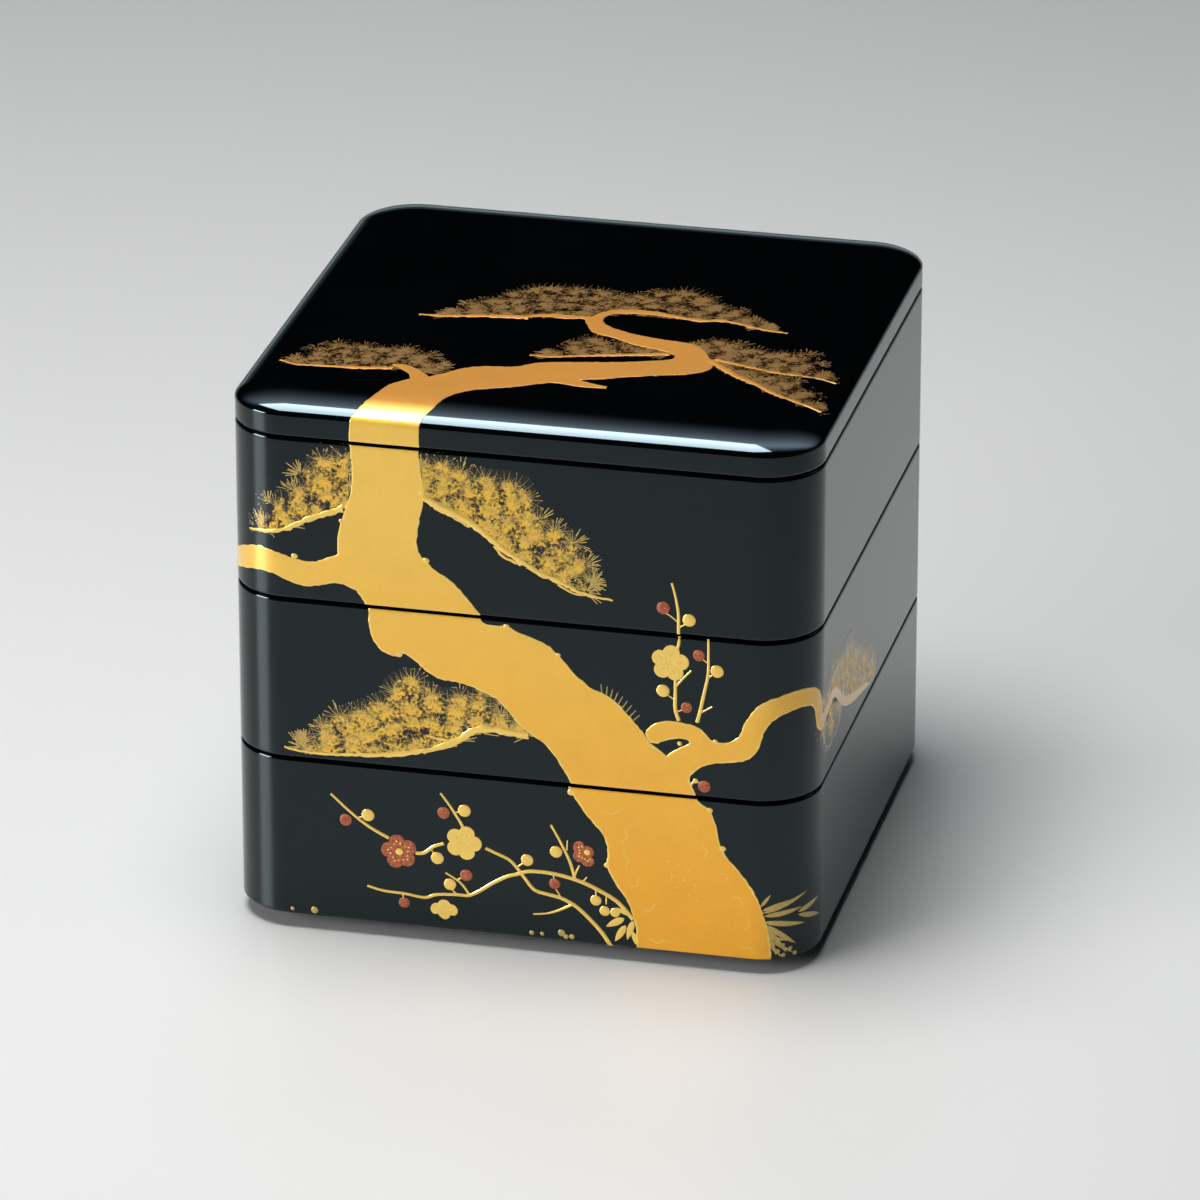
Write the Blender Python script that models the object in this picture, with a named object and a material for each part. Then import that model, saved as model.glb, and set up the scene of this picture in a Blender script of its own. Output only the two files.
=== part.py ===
"""A three-tier lacquer food box with a lift-off lid.

Four pieces stack up: lower_tier, middle_tier, upper_tier and lid. Each is a hollow
tray or cap whose plan is a square with round corners. A tapered foot under each tier
drops into the mouth of the tier below it, and the box stands on the lowest foot.

Units are metres and +Z is up. The origin is on the ground under the middle of the
box, and the front is towards -Y.
"""

from math import cos, pi, sin

import bmesh
import bpy

# Plan of the box
SIDE = 0.195            # outside width and depth
CORNER_R = 0.020        # outside radius of the upright corners
CORNER_STEPS = 8        # flats in each upright corner
WALL = 0.004            # thickness of the walls

# Heights
TIER_H = 0.0565         # from one seam to the next
LID_H = 0.011           # from the top seam to the crown of the lid
SEAM_GAP = 0.0003       # air between two stacked pieces
TIER_NAMES = ("lower_tier", "middle_tier", "upper_tier")

# Rounded edges
EDGE_R = 0.0012         # outside edges along the seams and along the ground
RIM_R = 0.0010          # inner edge of each mouth
EDGE_STEPS = 2          # flats in each small rounding

# Foot under each tier, which fits the mouth of the tier below
FOOT_H = 0.005          # from the ground to the bottom edge of the outer wall
FOOT_PLAY = 0.0004      # air round the foot inside the mouth below it
FOOT_GUIDE = 0.0008     # height of the foot's upright side
FOOT_TAPER = 0.0076     # how far the sloping side runs inwards

# Inside of each tier
FLOOR = 0.0045          # thickness of the floor
BOWL_R = 0.006          # radius where the walls meet the floor
BOWL_STEPS = 3

# Lid
LID_SIDE_H = 0.0070     # upright part of the lid's side, above the top seam
LID_SOFT_W = 0.018      # width of the soft shoulder round the flat crown
LID_SOFT_STEPS = 4
LID_TOP = 0.0030        # thickness of the crown
LIP_H = 0.0045          # depth of the lip that drops into the upper tier
LIP_WALL = 0.0026       # thickness of the lip
LIP_R = 0.0006          # rounding of the lip's lower edges
UNDER_R = 0.003         # radius inside the lid, where the lip meets the crown

BLACK_LACQUER = (0.0035, 0.0042, 0.0048, 1.0)


def clear_scene():
    """Take every object out of the open file."""
    for found in list(bpy.data.objects):
        bpy.data.objects.remove(found, do_unlink=True)


def make_material(name, colour, roughness, metallic):
    """A plain Principled finish."""
    material = bpy.data.materials.new(name)
    material.use_nodes = True
    shader = material.node_tree.nodes["Principled BSDF"]
    shader.inputs["Base Color"].default_value = colour
    shader.inputs["Roughness"].default_value = roughness
    shader.inputs["Metallic"].default_value = metallic
    return material


def quarter_round(across, along, steps, flat_first):
    """Steps (inset, rise) round a quarter of an ellipse.

    across is the whole inset and along the whole rise, which may be negative.
    flat_first starts along the face and ends upright. Otherwise it is the reverse.
    """
    points = []
    for i in range(steps + 1):
        turn = pi / 2 * i / steps
        if flat_first:
            points.append((across * sin(turn), along * (1 - cos(turn))))
        else:
            points.append((across * (1 - cos(turn)), along * sin(turn)))
    return [(b[0] - a[0], b[1] - a[1]) for a, b in zip(points, points[1:])]


def rounded_block(mesh, side, low, high):
    """A square block with round upright corners. Returns its top and bottom faces."""
    made = bmesh.ops.create_cube(mesh, size=1.0)
    bmesh.ops.scale(mesh, vec=(side, side, high - low), verts=made["verts"])
    bmesh.ops.translate(mesh, vec=(0, 0, (low + high) / 2), verts=made["verts"])
    upright = [e for e in mesh.edges if abs(e.verts[0].co.z - e.verts[1].co.z) > (high - low) / 2]
    bmesh.ops.bevel(mesh, geom=upright, offset=CORNER_R, offset_type="OFFSET",
                    segments=CORNER_STEPS, profile=0.5, affect="EDGES")
    mesh.normal_update()
    top = max(mesh.faces, key=lambda f: f.calc_center_median().z)
    bottom = min(mesh.faces, key=lambda f: f.calc_center_median().z)
    return top, bottom


def draw_face(mesh, face, steps):
    """Carry a level face through steps of (inset, rise), leaving walls behind it."""
    for inset, rise in steps:
        if inset:
            bmesh.ops.inset_region(mesh, faces=[face], thickness=inset, use_even_offset=True)
        else:
            face = bmesh.ops.extrude_discrete_faces(mesh, faces=[face])["faces"][0]
        bmesh.ops.translate(mesh, vec=(0, 0, rise), verts=face.verts)


def finish_piece(name, mesh, material, collection):
    """Turn the mesh into a named object with its origin on the ground."""
    data = bpy.data.meshes.new(name)
    mesh.to_mesh(data)
    mesh.free()
    data.materials.append(material)
    data.shade_smooth()
    data.set_sharp_from_angle(angle=pi / 6)
    piece = bpy.data.objects.new(name, data)
    collection.objects.link(piece)
    return piece


def build_tier(name, seam, material, collection):
    """One open tray whose outer wall starts at height seam."""
    mesh = bmesh.new()
    rim = seam + TIER_H - SEAM_GAP
    floor_top = seam - FOOT_H + FLOOR
    top, bottom = rounded_block(mesh, SIDE, seam + EDGE_R, rim - EDGE_R)

    foot = quarter_round(EDGE_R, -EDGE_R, EDGE_STEPS, flat_first=False)
    foot.append((WALL + FOOT_PLAY - EDGE_R, 0))
    foot.append((0, -FOOT_GUIDE))
    foot.append((FOOT_TAPER, FOOT_GUIDE - FOOT_H))
    draw_face(mesh, bottom, foot)

    mouth = quarter_round(EDGE_R, EDGE_R, EDGE_STEPS, flat_first=False)
    mouth.append((WALL - EDGE_R - RIM_R, 0))
    mouth += quarter_round(RIM_R, -RIM_R, EDGE_STEPS, flat_first=True)
    mouth.append((0, floor_top + BOWL_R - (rim - RIM_R)))
    mouth += quarter_round(BOWL_R, -BOWL_R, BOWL_STEPS, flat_first=False)
    draw_face(mesh, top, mouth)
    return finish_piece(name, mesh, material, collection)


def build_lid(seam, material, collection):
    """The cap: a soft crown above the seam, and a thin lip below it."""
    mesh = bmesh.new()
    shoulder = seam + LID_SIDE_H
    lip_inset = WALL + FOOT_PLAY
    ceiling = seam + LID_H - LID_TOP
    top, bottom = rounded_block(mesh, SIDE, seam + EDGE_R, shoulder)

    crown = quarter_round(LID_SOFT_W, LID_H - LID_SIDE_H, LID_SOFT_STEPS, flat_first=False)
    draw_face(mesh, top, crown)

    under = quarter_round(EDGE_R, -EDGE_R, EDGE_STEPS, flat_first=False)
    under.append((lip_inset - EDGE_R, 0))
    under.append((0, LIP_R - LIP_H))
    under += quarter_round(LIP_R, -LIP_R, 1, flat_first=False)
    under.append((LIP_WALL - 2 * LIP_R, 0))
    under += quarter_round(LIP_R, LIP_R, 1, flat_first=True)
    under.append((0, ceiling - UNDER_R - (seam - LIP_H + LIP_R)))
    under += quarter_round(UNDER_R, UNDER_R, EDGE_STEPS, flat_first=False)
    draw_face(mesh, bottom, under)
    return finish_piece("lid", mesh, material, collection)


def main():
    clear_scene()
    collection = bpy.data.collections.new("tiered_food_box")
    bpy.context.scene.collection.children.link(collection)
    lacquer = make_material("black_lacquer", BLACK_LACQUER, roughness=0.08, metallic=0.0)
    for level, name in enumerate(TIER_NAMES):
        build_tier(name, FOOT_H + level * TIER_H, lacquer, collection)
    build_lid(FOOT_H + len(TIER_NAMES) * TIER_H, lacquer, collection)


main()
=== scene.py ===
"""Models a three-tier lacquer food box with an old pine, plum and bamboo in gold on it.

The box stands on the ground with its middle at the world origin and its front towards -Y.
Each tier and the lid is a hollow shell, black lacquer outside and vermilion inside. The
picture lies on the shells in low relief: gold trunks with raised outlines, pine needles on
gold dust, twigs, blossoms and bamboo leaves.

Sizes are in metres. The picture is drawn flat and in millimetres, and then laid on the box.
On the tiers a point is (along, up): the distance round the box from the middle of the front,
to the right positive, and the height above the ground. On the lid it is (x, y) in plan, and
below the lid's upper edge y goes on down the front of its side.
"""

import math
import random

import bmesh
import bpy
from bpy.props import FloatProperty, FloatVectorProperty, IntProperty, PointerProperty
from bpy.types import Operator, Panel, PropertyGroup
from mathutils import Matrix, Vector


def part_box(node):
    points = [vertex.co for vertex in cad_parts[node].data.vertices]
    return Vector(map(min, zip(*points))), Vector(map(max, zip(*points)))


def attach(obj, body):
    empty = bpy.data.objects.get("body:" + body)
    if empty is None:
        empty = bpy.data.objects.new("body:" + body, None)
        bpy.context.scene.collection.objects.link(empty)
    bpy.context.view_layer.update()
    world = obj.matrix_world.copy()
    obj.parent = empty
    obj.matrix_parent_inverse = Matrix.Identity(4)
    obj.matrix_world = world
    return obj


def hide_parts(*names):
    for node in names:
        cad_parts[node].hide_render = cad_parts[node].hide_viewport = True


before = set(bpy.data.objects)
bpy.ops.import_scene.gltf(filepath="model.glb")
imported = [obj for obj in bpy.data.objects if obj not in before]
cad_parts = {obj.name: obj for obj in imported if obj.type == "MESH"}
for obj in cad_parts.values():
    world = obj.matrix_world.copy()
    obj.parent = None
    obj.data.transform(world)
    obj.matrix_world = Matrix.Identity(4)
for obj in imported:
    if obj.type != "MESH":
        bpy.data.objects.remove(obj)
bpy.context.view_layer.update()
node_box = {name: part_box(name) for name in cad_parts}

bl_info = {
    "name": "Tiered Lacquer Food Box",
    "version": (1, 0, 0),
    "blender": (4, 5, 0),
    "location": "3D View > Sidebar > Lacquer Box",
    "description": "Models a three-tier lacquer food box with a pine in gold relief",
    "category": "Add Mesh",
}

TIERS = ("lower_tier", "middle_tier", "upper_tier")

MM = 0.001
HAIR = 0.0001                   # a difference in metres that doesn't count
TINY = 1e-9                     # keeps a division by a length away from zero
LEVEL = 0.9                     # a face whose normal is steeper than this counts as level
SHELL_SMOOTH = math.radians(40)         # shells are shaded smooth below this angle
RELIEF_SMOOTH = math.radians(50)
BOWL_STEPS = 8                  # flats in the roundings inside the shells
LIP_STEPS = 3
UNDER_STEPS = 6

WELD = 0.000004                 # points of a line closer than this become one
BEAD_SUNK = 0.04 * MM           # how far a raised line reaches down into the lacquer
SEAM_SPARE = 0.55 * MM          # bare lacquer between a trunk and the seam
EDGE_SPARE = 0.35 * MM          # the same for thin pieces
EDGE_BENDS = (0.35, 0.60, 0.95)         # where gold bends over a rounded edge, in its radius
CAMERA_PLACE = (0.5996, -2.5316, 1.2063)
CAMERA_DOWN = 0.40725           # radians below the horizon
CAMERA_TURN = 0.23069           # radians to the left of straight ahead
SKY_STOPS = ((-90, 1.0), (4, 1.0), (7, 0.3), (12, 0.0))     # degrees up, and brightness
HAZE = (3.2, 4.0, 4.9, 1.0)     # colour of the glow behind the box

# The drawing, in its own millimetres.
FLOW_STEP = 1.2                 # between the points of a smooth line
BARK_BUMPS = 0.16               # bumps along the sides of a trunk
RIM_SEED = 40                   # sets the widths of the outlines apart from the bumps
BOUGH_WANDER = 0.18
BARK_STEPS = 14                 # straight runs in a line of bark
LEAF_STEPS = 8                  # straight runs in a bamboo leaf
FRINGE_ROWS = ((0, 0.66, 0.00015), (2.1, 0.50, 0.00012))    # inset, width, height in metres
FRINGE_LEAN = 0.30              # how far a needle of the fringe leans, in radians
FAN_ROWS = (0.06, 0.32, 0.56, 0.78)     # parts of the way from the bough to the fringe
FAN_GAP = 6.6
FAN_WANDER = 1.3
FAN_NEEDLES = 15
FAN_SPREAD = math.radians(210)
DUST_PITCH = 1.3                # side of a square in the sheet of dust
DUST_BARE = 0.8                 # the fringe has no dust under it for this far
DUST_EDGE = 3.5                 # and full dust this much farther in
DUST_HEART = 2.2                # how far the thick dust in the middle of a fan reaches

# In metres: the sheet of dust, a needle that stands alone, and the heights of small shapes.
DUST_THICKNESS = 0.00008
STRAY_WIDTH = 0.00050
HIGH = {"stray": 0.00012, "knot": 0.00045, "ground": 0.00040, "bud": 0.00062,
        "flower": 0.00022, "petal": 0.00026, "stamen": 0.00060, "pistil": 0.00070}
# Rings of a plum petal: inset and rise, in its own length.
PETAL_STEPS = ((0, 0.7), (0.05, 0.22), (0.06, 0.08), (0.08, -0.12), (0.07, -0.06))
# Boughs are drawn this much wider than their row says, and this flat.
LID_BOUGHS = (2.2, 0.12)
TIER_BOUGHS = (1.5, 0.30)


# ---------------------------------------------------------------- what a user would change

class LacquerBoxShape(PropertyGroup):
    """Sizes of the shells that the frame's boxes don't give."""

    corner_radius: FloatProperty(
        name="Corner radius", description="Outside radius of the upright corners",
        default=0.020, unit="LENGTH")
    corner_steps: IntProperty(
        name="Corner steps", description="Flats in each upright corner", default=24)
    wall: FloatProperty(
        name="Wall", description="Thickness of the walls", default=0.004, unit="LENGTH")
    floor: FloatProperty(
        name="Floor", description="Thickness of a tier's floor", default=0.0045, unit="LENGTH")
    seam_gap: FloatProperty(
        name="Seam gap", description="Air between two stacked pieces",
        default=0.0003, unit="LENGTH")
    edge_radius: FloatProperty(
        name="Edge radius", description="Rounding of the outside edges along the seams",
        default=0.0012, unit="LENGTH")
    rim_radius: FloatProperty(
        name="Rim radius", description="Rounding of the inner edge of each mouth",
        default=0.0010, unit="LENGTH")
    edge_steps: IntProperty(
        name="Edge steps", description="Flats in each small rounding", default=5)
    foot_height: FloatProperty(
        name="Foot height", description="From the ground to the lowest wall's bottom edge",
        default=0.005, unit="LENGTH")
    foot_play: FloatProperty(
        name="Foot play", description="Air round a foot in the mouth below it",
        default=0.0004, unit="LENGTH")
    foot_guide: FloatProperty(
        name="Foot guide", description="Height of the upright side of a foot",
        default=0.0008, unit="LENGTH")
    foot_taper: FloatProperty(
        name="Foot taper", description="How far a foot's sloping side runs inwards",
        default=0.0076, unit="LENGTH")
    bowl_radius: FloatProperty(
        name="Bowl radius", description="Radius inside, where the walls meet the floor",
        default=0.006, unit="LENGTH")
    lid_side: FloatProperty(
        name="Lid side", description="Upright part of the lid's side",
        default=0.0070, unit="LENGTH")
    shoulder_width: FloatProperty(
        name="Shoulder width", description="Width of the soft shoulder round the lid's crown",
        default=0.018, unit="LENGTH")
    shoulder_steps: IntProperty(
        name="Shoulder steps", description="Flats across the lid's shoulder", default=24)
    crown: FloatProperty(
        name="Crown", description="Thickness of the top of the lid",
        default=0.0030, unit="LENGTH")
    lip_wall: FloatProperty(
        name="Lip wall", description="Thickness of the lip under the lid",
        default=0.0026, unit="LENGTH")
    lip_radius: FloatProperty(
        name="Lip radius", description="Rounding of the lip's lower edges",
        default=0.0006, unit="LENGTH")
    under_radius: FloatProperty(
        name="Under radius", description="Radius inside the lid, under its crown",
        default=0.003, unit="LENGTH")


class LacquerBoxColours(PropertyGroup):
    """Colours of the lacquer and of the picture, with darker copies of the golds as painted shade
    on the lid.
    """

    black: FloatVectorProperty(
        name="Black lacquer", description="Outside of the box", subtype="COLOR", size=4,
        default=(0.0006, 0.0009, 0.0011, 1.0))
    vermilion: FloatVectorProperty(
        name="Vermilion lacquer", description="Inside of the box", subtype="COLOR", size=4,
        default=(0.42, 0.040, 0.018, 1.0))
    gold: FloatVectorProperty(
        name="Gold powder", description="Trunks and branches", subtype="COLOR", size=4,
        default=(1.0, 0.61, 0.092, 1.0))
    deep_gold: FloatVectorProperty(
        name="Deep gold", description="Gold powder low on the box", subtype="COLOR", size=4,
        default=(0.98, 0.45, 0.012, 1.0))
    pale_gold: FloatVectorProperty(
        name="Pale gold", description="Raised outlines, twigs and gold blossoms",
        subtype="COLOR", size=4, default=(1.0, 0.66, 0.130, 1.0))
    needle_gold: FloatVectorProperty(
        name="Needle gold", description="Pine needles on the tiers",
        subtype="COLOR", size=4, default=(0.42, 0.335, 0.11, 1.0))
    # Painted shade: a darker copy of the gold, for the trunk and outlines on the lid's crown.
    lid_gold: FloatVectorProperty(
        name="Lid gold", description="Trunk on the crown of the lid", subtype="COLOR", size=4,
        default=(0.44, 0.185, 0.022, 1.0))
    # Painted shade: a darker copy of the needle gold, for the needles and dust on the lid's crown.
    lid_needles: FloatVectorProperty(
        name="Lid needles", description="Pine needles on the crown of the lid",
        subtype="COLOR", size=4, default=(0.215, 0.105, 0.020, 1.0))
    red: FloatVectorProperty(
        name="Red lacquer", description="Red blossoms and buds", subtype="COLOR", size=4,
        default=(0.42, 0.0663, 0.03, 1.0))


class LacquerBoxPicture(PropertyGroup):
    """Heights and widths of the relief."""

    relief: FloatProperty(
        name="Relief", description="Height of the gold areas above the lacquer",
        default=0.00012, unit="LENGTH", precision=5)
    outline: FloatProperty(
        name="Outline", description="Half the width of the raised outlines",
        default=0.00042, unit="LENGTH", precision=5)
    needle_length: FloatProperty(
        name="Needle length", description="Length of a pine needle at the edge of a cluster",
        default=0.0050, unit="LENGTH", precision=4)
    needle_width: FloatProperty(
        name="Needle width", description="Width of a pine needle at its root",
        default=0.00080, unit="LENGTH", precision=5)
    needle_gap: FloatProperty(
        name="Needle gap", description="Distance between needles at the edge of a cluster",
        default=0.0021, unit="LENGTH", precision=4)
    seed: IntProperty(
        name="Seed", description="Another number lays the needles another way", default=11)


class LacquerBoxStage(PropertyGroup):
    """Floor, lights and camera."""

    floor_colour: FloatVectorProperty(
        name="Floor", description="Colour of the floor", subtype="COLOR", size=4,
        default=(0.63, 0.63, 0.62, 1.0))
    key: FloatProperty(
        name="Key light", description="Strength of the softbox high on the left", default=26.4)
    fill: FloatProperty(
        name="Fill light", description="Strength of the soft light from the front",
        default=51.5)
    strip: FloatProperty(
        name="Corner strip", description="Power of the light that draws a line down the corner",
        default=60.0)
    softbox: FloatProperty(
        name="Softbox", description="Strength of the softbox that the shoulder mirrors",
        default=140.0)
    room: FloatProperty(
        name="Room", description="Brightness of the pale room round the floor", default=0.62)
    lens: FloatProperty(
        name="Lens", description="Focal length of the camera in millimetres", default=254.6)


# ---------------------------------------------------------------- the box's measures

def settings(group):
    """One of the scene's groups of settings."""
    return getattr(bpy.context.scene, "lacquer_box_" + group)


def half_side():
    """Half of the box's width."""
    return node_box["lid"][1].x


def wall_span(name):
    """Heights of the bottom and top edge of a tier's outer wall, or of the lid's side."""
    shape = settings("shape")
    if name == "lid":
        low = node_box[TIERS[-1]][1].z + shape.seam_gap
        return low, low + shape.lid_side
    place = TIERS.index(name)
    low = shape.foot_height
    if place:
        low = node_box[TIERS[place - 1]][1].z + shape.seam_gap
    return low, node_box[name][1].z


def depth_inside(x, y):
    """How far a point of the plan lies inside the box's outline."""
    radius = settings("shape").corner_radius
    flat = half_side() - radius
    over_x, over_y = abs(x) - flat, abs(y) - flat
    if over_x > 0 and over_y > 0:
        return radius - math.hypot(over_x, over_y)
    return radius - max(over_x, over_y)


def outline_point(along):
    """Point of the plan's outline and its outward direction, a distance from mid-front."""
    radius = settings("shape").corner_radius
    half = half_side()
    flat = half - radius
    quarter = radius * math.pi / 2
    hand = math.copysign(1.0, along)
    run = abs(along)
    if run <= flat:
        return Vector((along, -half, 0)), Vector((0, -1, 0))
    if run <= flat + quarter:
        turn = (run - flat) / radius
        out = Vector((hand * math.sin(turn), -math.cos(turn), 0))
        return Vector((hand * flat, -flat, 0)) + out * radius, out
    return Vector((hand * half, run - quarter - 2 * flat, 0)), Vector((hand, 0, 0))


def lay_on_wall(along, up, lift, low, high):
    """Place of a picture point on a wall between two heights, its rounded edges included."""
    edge = settings("shape").edge_radius
    point, out = outline_point(along)
    near = min(up - low, high - up)
    if near >= edge:
        return point + out * lift + Vector((0, 0, up))
    lean = min(1.0, (edge - near) / edge)
    level = math.sqrt(1 - lean * lean)
    upward = 1 if high - up < up - low else -1
    normal = out * level + Vector((0, 0, upward * lean))
    return point - out * edge * (1 - level) + Vector((0, 0, up)) + normal * lift


def lay_on_lid(x, y, lift):
    """Place of a picture point on the lid: crown, shoulder or the front of its side."""
    shape = settings("shape")
    half = half_side()
    low, upper = wall_span("lid")
    if y < -half:
        return lay_on_wall(x, upper + y + half, lift, low, upper + shape.edge_radius * 2)
    rise = node_box["lid"][1].z - upper
    width = shape.shoulder_width
    depth = depth_inside(x, y)
    if depth >= width:
        return Vector((x, y, upper + rise + lift))
    part = 1 - max(depth, 0) / width
    level = math.sqrt(1 - part * part)
    centre = half - shape.corner_radius
    out = Vector((max(abs(x) - centre, 0) * math.copysign(1, x),
                  max(abs(y) - centre, 0) * math.copysign(1, y), 0)).normalized()
    if abs(abs(x) - abs(y)) > shape.corner_radius:
        out = Vector((math.copysign(1, x), 0, 0))
        if abs(x) <= abs(y):
            out = Vector((0, math.copysign(1, y), 0))
    normal = (out * (part / width) + Vector((0, 0, level / rise))).normalized()
    return Vector((x, y, upper + rise * level)) + normal * lift


# ---------------------------------------------------------------- modelling by hand

def leave_edit():
    """Go back to object mode from edit mode."""
    if bpy.context.object and bpy.context.object.mode != "OBJECT":
        bpy.ops.object.mode_set(mode="OBJECT")


def deselect_all():
    """Start clean, because operators work on everything that is selected."""
    leave_edit()
    bpy.ops.object.select_all(action="DESELECT")


def rename(piece, name):
    """Give a piece and its mesh one name."""
    piece.name = name
    piece.data.name = name


def take(piece):
    """Select one piece alone."""
    deselect_all()
    piece.select_set(True)
    bpy.context.view_layer.objects.active = piece


def edit(piece, kind="FACE", action="DESELECT"):
    """Go into edit mode on one piece, with nothing or with all of it selected."""
    take(piece)
    bpy.ops.object.mode_set(mode="EDIT")
    bpy.ops.mesh.select_mode(type=kind)
    bpy.ops.mesh.select_all(action=action)


def pick(piece, kind, test):
    """Select the faces or edges that pass a test."""
    mesh = bmesh.from_edit_mesh(piece.data)
    mesh.normal_update()
    for part in getattr(mesh, kind):
        part.select_set(bool(test(part)))
    mesh.select_flush_mode()
    bmesh.update_edit_mesh(piece.data)


def faces_down(face):
    """Whether a face is level and looks down."""
    return face.normal.z < -LEVEL


def faces_up(face):
    """Whether a face is level and looks up."""
    return face.normal.z > LEVEL


def quarter_round(across, along, steps, flat_first=False):
    """Steps (inset, rise) round a quarter of an ellipse. Rise may be negative."""
    points = []
    for i in range(steps + 1):
        turn = math.pi / 2 * i / steps
        if flat_first:
            points.append((across * math.sin(turn), along * (1 - math.cos(turn))))
        else:
            points.append((across * (1 - math.cos(turn)), along * math.sin(turn)))
    return [(b[0] - a[0], b[1] - a[1]) for a, b in zip(points, points[1:])]


def draw_on(steps):
    """Carry the selected level face through steps of (inset, rise)."""
    for inset, rise in steps:
        if inset:
            bpy.ops.mesh.inset(thickness=inset, depth=0)
            if rise:
                bpy.ops.transform.translate(value=(0, 0, rise))
        else:
            bpy.ops.mesh.extrude_region_move(TRANSFORM_OT_translate={"value": (0, 0, rise)})


def rounded_block(name, low, high):
    """A square block with round upright corners, left in edit mode."""
    shape = settings("shape")
    side = half_side() * 2
    deselect_all()
    bpy.ops.mesh.primitive_cube_add(size=1, location=(0, 0, (low + high) / 2),
                                    scale=(side, side, high - low))
    block = bpy.context.object
    rename(block, name)
    bpy.ops.object.transform_apply(location=True, rotation=True, scale=True)
    edit(block, "EDGE")
    pick(block, "edges",
         lambda e: abs(e.verts[0].co.z - e.verts[1].co.z) > (high - low) / 2)
    bpy.ops.mesh.bevel(offset=shape.corner_radius, segments=shape.corner_steps, profile=0.5)
    bpy.ops.mesh.select_mode(type="FACE")
    return block


def finish_shell(shell, name, is_inside):
    """Give a shell its two lacquers and clean reflections, and let it stand for its node."""
    leave_edit()
    shell.data.materials.append(finish("black_lacquer"))
    shell.data.materials.append(finish("vermilion_lacquer"))
    for face in shell.data.polygons:
        face.material_index = 1 if is_inside(face.center, face.normal) else 0
    take(shell)
    bpy.ops.object.shade_smooth_by_angle(angle=SHELL_SMOOTH)
    weighted = shell.modifiers.new("even_reflections", "WEIGHTED_NORMAL")
    weighted.keep_sharp = True
    weighted.weight = 100
    bpy.ops.object.modifier_apply(modifier=weighted.name)
    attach(shell, "root")
    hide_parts(name)


# ---------------------------------------------------------------- drawing the picture flat

def flowing(points):
    """A smooth line through a few points, with a point every FLOW_STEP."""
    last = len(points) - 1
    line = []
    for i in range(last):
        a, b, c, d = (points[min(max(i + k, 0), last)] for k in (-1, 0, 1, 2))
        pieces = max(1, int(math.dist(b, c) / FLOW_STEP + 0.5))
        for j in range(pieces):
            t = j / pieces
            line.append(tuple(
                0.5 * (2 * q + (r - p) * t + (2 * p - 5 * q + 4 * r - s) * t * t
                       + (3 * q - p - 3 * r + s) * t ** 3)
                for p, q, r, s in zip(a, b, c, d)))
    line.append(points[-1])
    return line


def roughened(line, seed):
    """The same line with small bumps across it, as bark has. Its two ends stay."""
    dice = random.Random(seed)
    last = len(line) - 1
    rough = []
    for i, (x, y) in enumerate(line):
        before, after = line[max(i - 1, 0)], line[min(i + 1, last)]
        run = math.dist(before, after) or 1.0
        push = BARK_BUMPS * (dice.random() - 0.5) * 2
        if i in (0, last):
            push = 0
        rough.append((x - (after[1] - before[1]) / run * push,
                      y + (after[0] - before[0]) / run * push))
    return rough


def new_curve(name, dimensions):
    """An empty curve object, ready for splines."""
    deselect_all()
    bpy.ops.curve.primitive_bezier_curve_add()
    curve = bpy.context.object
    curve.name = name
    curve.data.splines.clear()
    curve.data.dimensions = dimensions
    return curve


def add_spline(curve, points, closed=False):
    """One spline of straight runs. A third number in a point is half the line's width."""
    spline = curve.data.splines.new("POLY")
    spline.points.add(len(points) - 1)
    for knot, point in zip(spline.points, points):
        knot.co = (point[0] * MM, point[1] * MM, 0, 1)
        if len(point) > 2:
            knot.radius = point[2]
    spline.use_cyclic_u = closed


def to_mesh(curve):
    """Turn a curve into one welded mesh."""
    name = curve.name
    take(curve)
    bpy.ops.object.convert(target="MESH")
    piece = bpy.context.object
    rename(piece, name)
    edit(piece, "VERT", action="SELECT")
    bpy.ops.mesh.remove_doubles(threshold=WELD)
    leave_edit()
    return piece


def flat_area(name, outline, thickness):
    """A thin flat plate inside a closed outline."""
    curve = new_curve(name, "2D")
    curve.data.fill_mode = "BOTH"
    curve.data.extrude = thickness / 2
    add_spline(curve, outline, closed=True)
    return to_mesh(curve)


def beads(name, lines, height_ratio=0.30):
    """Raised lines with a rounded top. A line is its points, each with half the width there."""
    curve = new_curve(name, "3D")
    curve.data.bevel_depth = MM
    curve.data.bevel_resolution = 2
    curve.data.use_fill_caps = True
    for line in lines:
        add_spline(curve, line)
    piece = to_mesh(curve)
    for vertex in piece.data.vertices:
        height = vertex.co.z
        vertex.co.z = height * height_ratio if height > 0 else max(height, -BEAD_SUNK)
    return piece


def cut(axis, place, clear=0):
    """Cut the piece being edited through at an X or Y. Clear: 1 drops what is above, -1 below."""
    point, way = Vector(), Vector()
    setattr(point, axis, place)
    setattr(way, axis, -1 if clear < 0 else 1)
    bpy.ops.mesh.select_all(action="SELECT")
    bpy.ops.mesh.bisect(plane_co=point, plane_no=way, use_fill=bool(clear),
                        clear_outer=bool(clear))


def trim_to_wall(piece, name):
    """Cut a flat piece to a tier's wall, and give it lines where the wall bends."""
    shape = settings("shape")
    low, high = wall_span(name)
    edit(piece)
    cut("y", high - SEAM_SPARE, clear=1)
    cut("y", low + SEAM_SPARE, clear=-1)
    for part in EDGE_BENDS:
        bend = shape.edge_radius * part
        cut("y", high - bend)
        cut("y", low + bend)
    leave_edit()
    reach = [vertex.co.x for vertex in piece.data.vertices]
    edit(piece)
    flat = half_side() - shape.corner_radius
    step = shape.corner_radius * math.pi / 2 / shape.corner_steps
    for hand in (-1, 1):
        for i in range(shape.corner_steps + 1):
            place = hand * (flat + i * step)
            if min(reach) < place < max(reach):
                cut("x", place)
    leave_edit()


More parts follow.
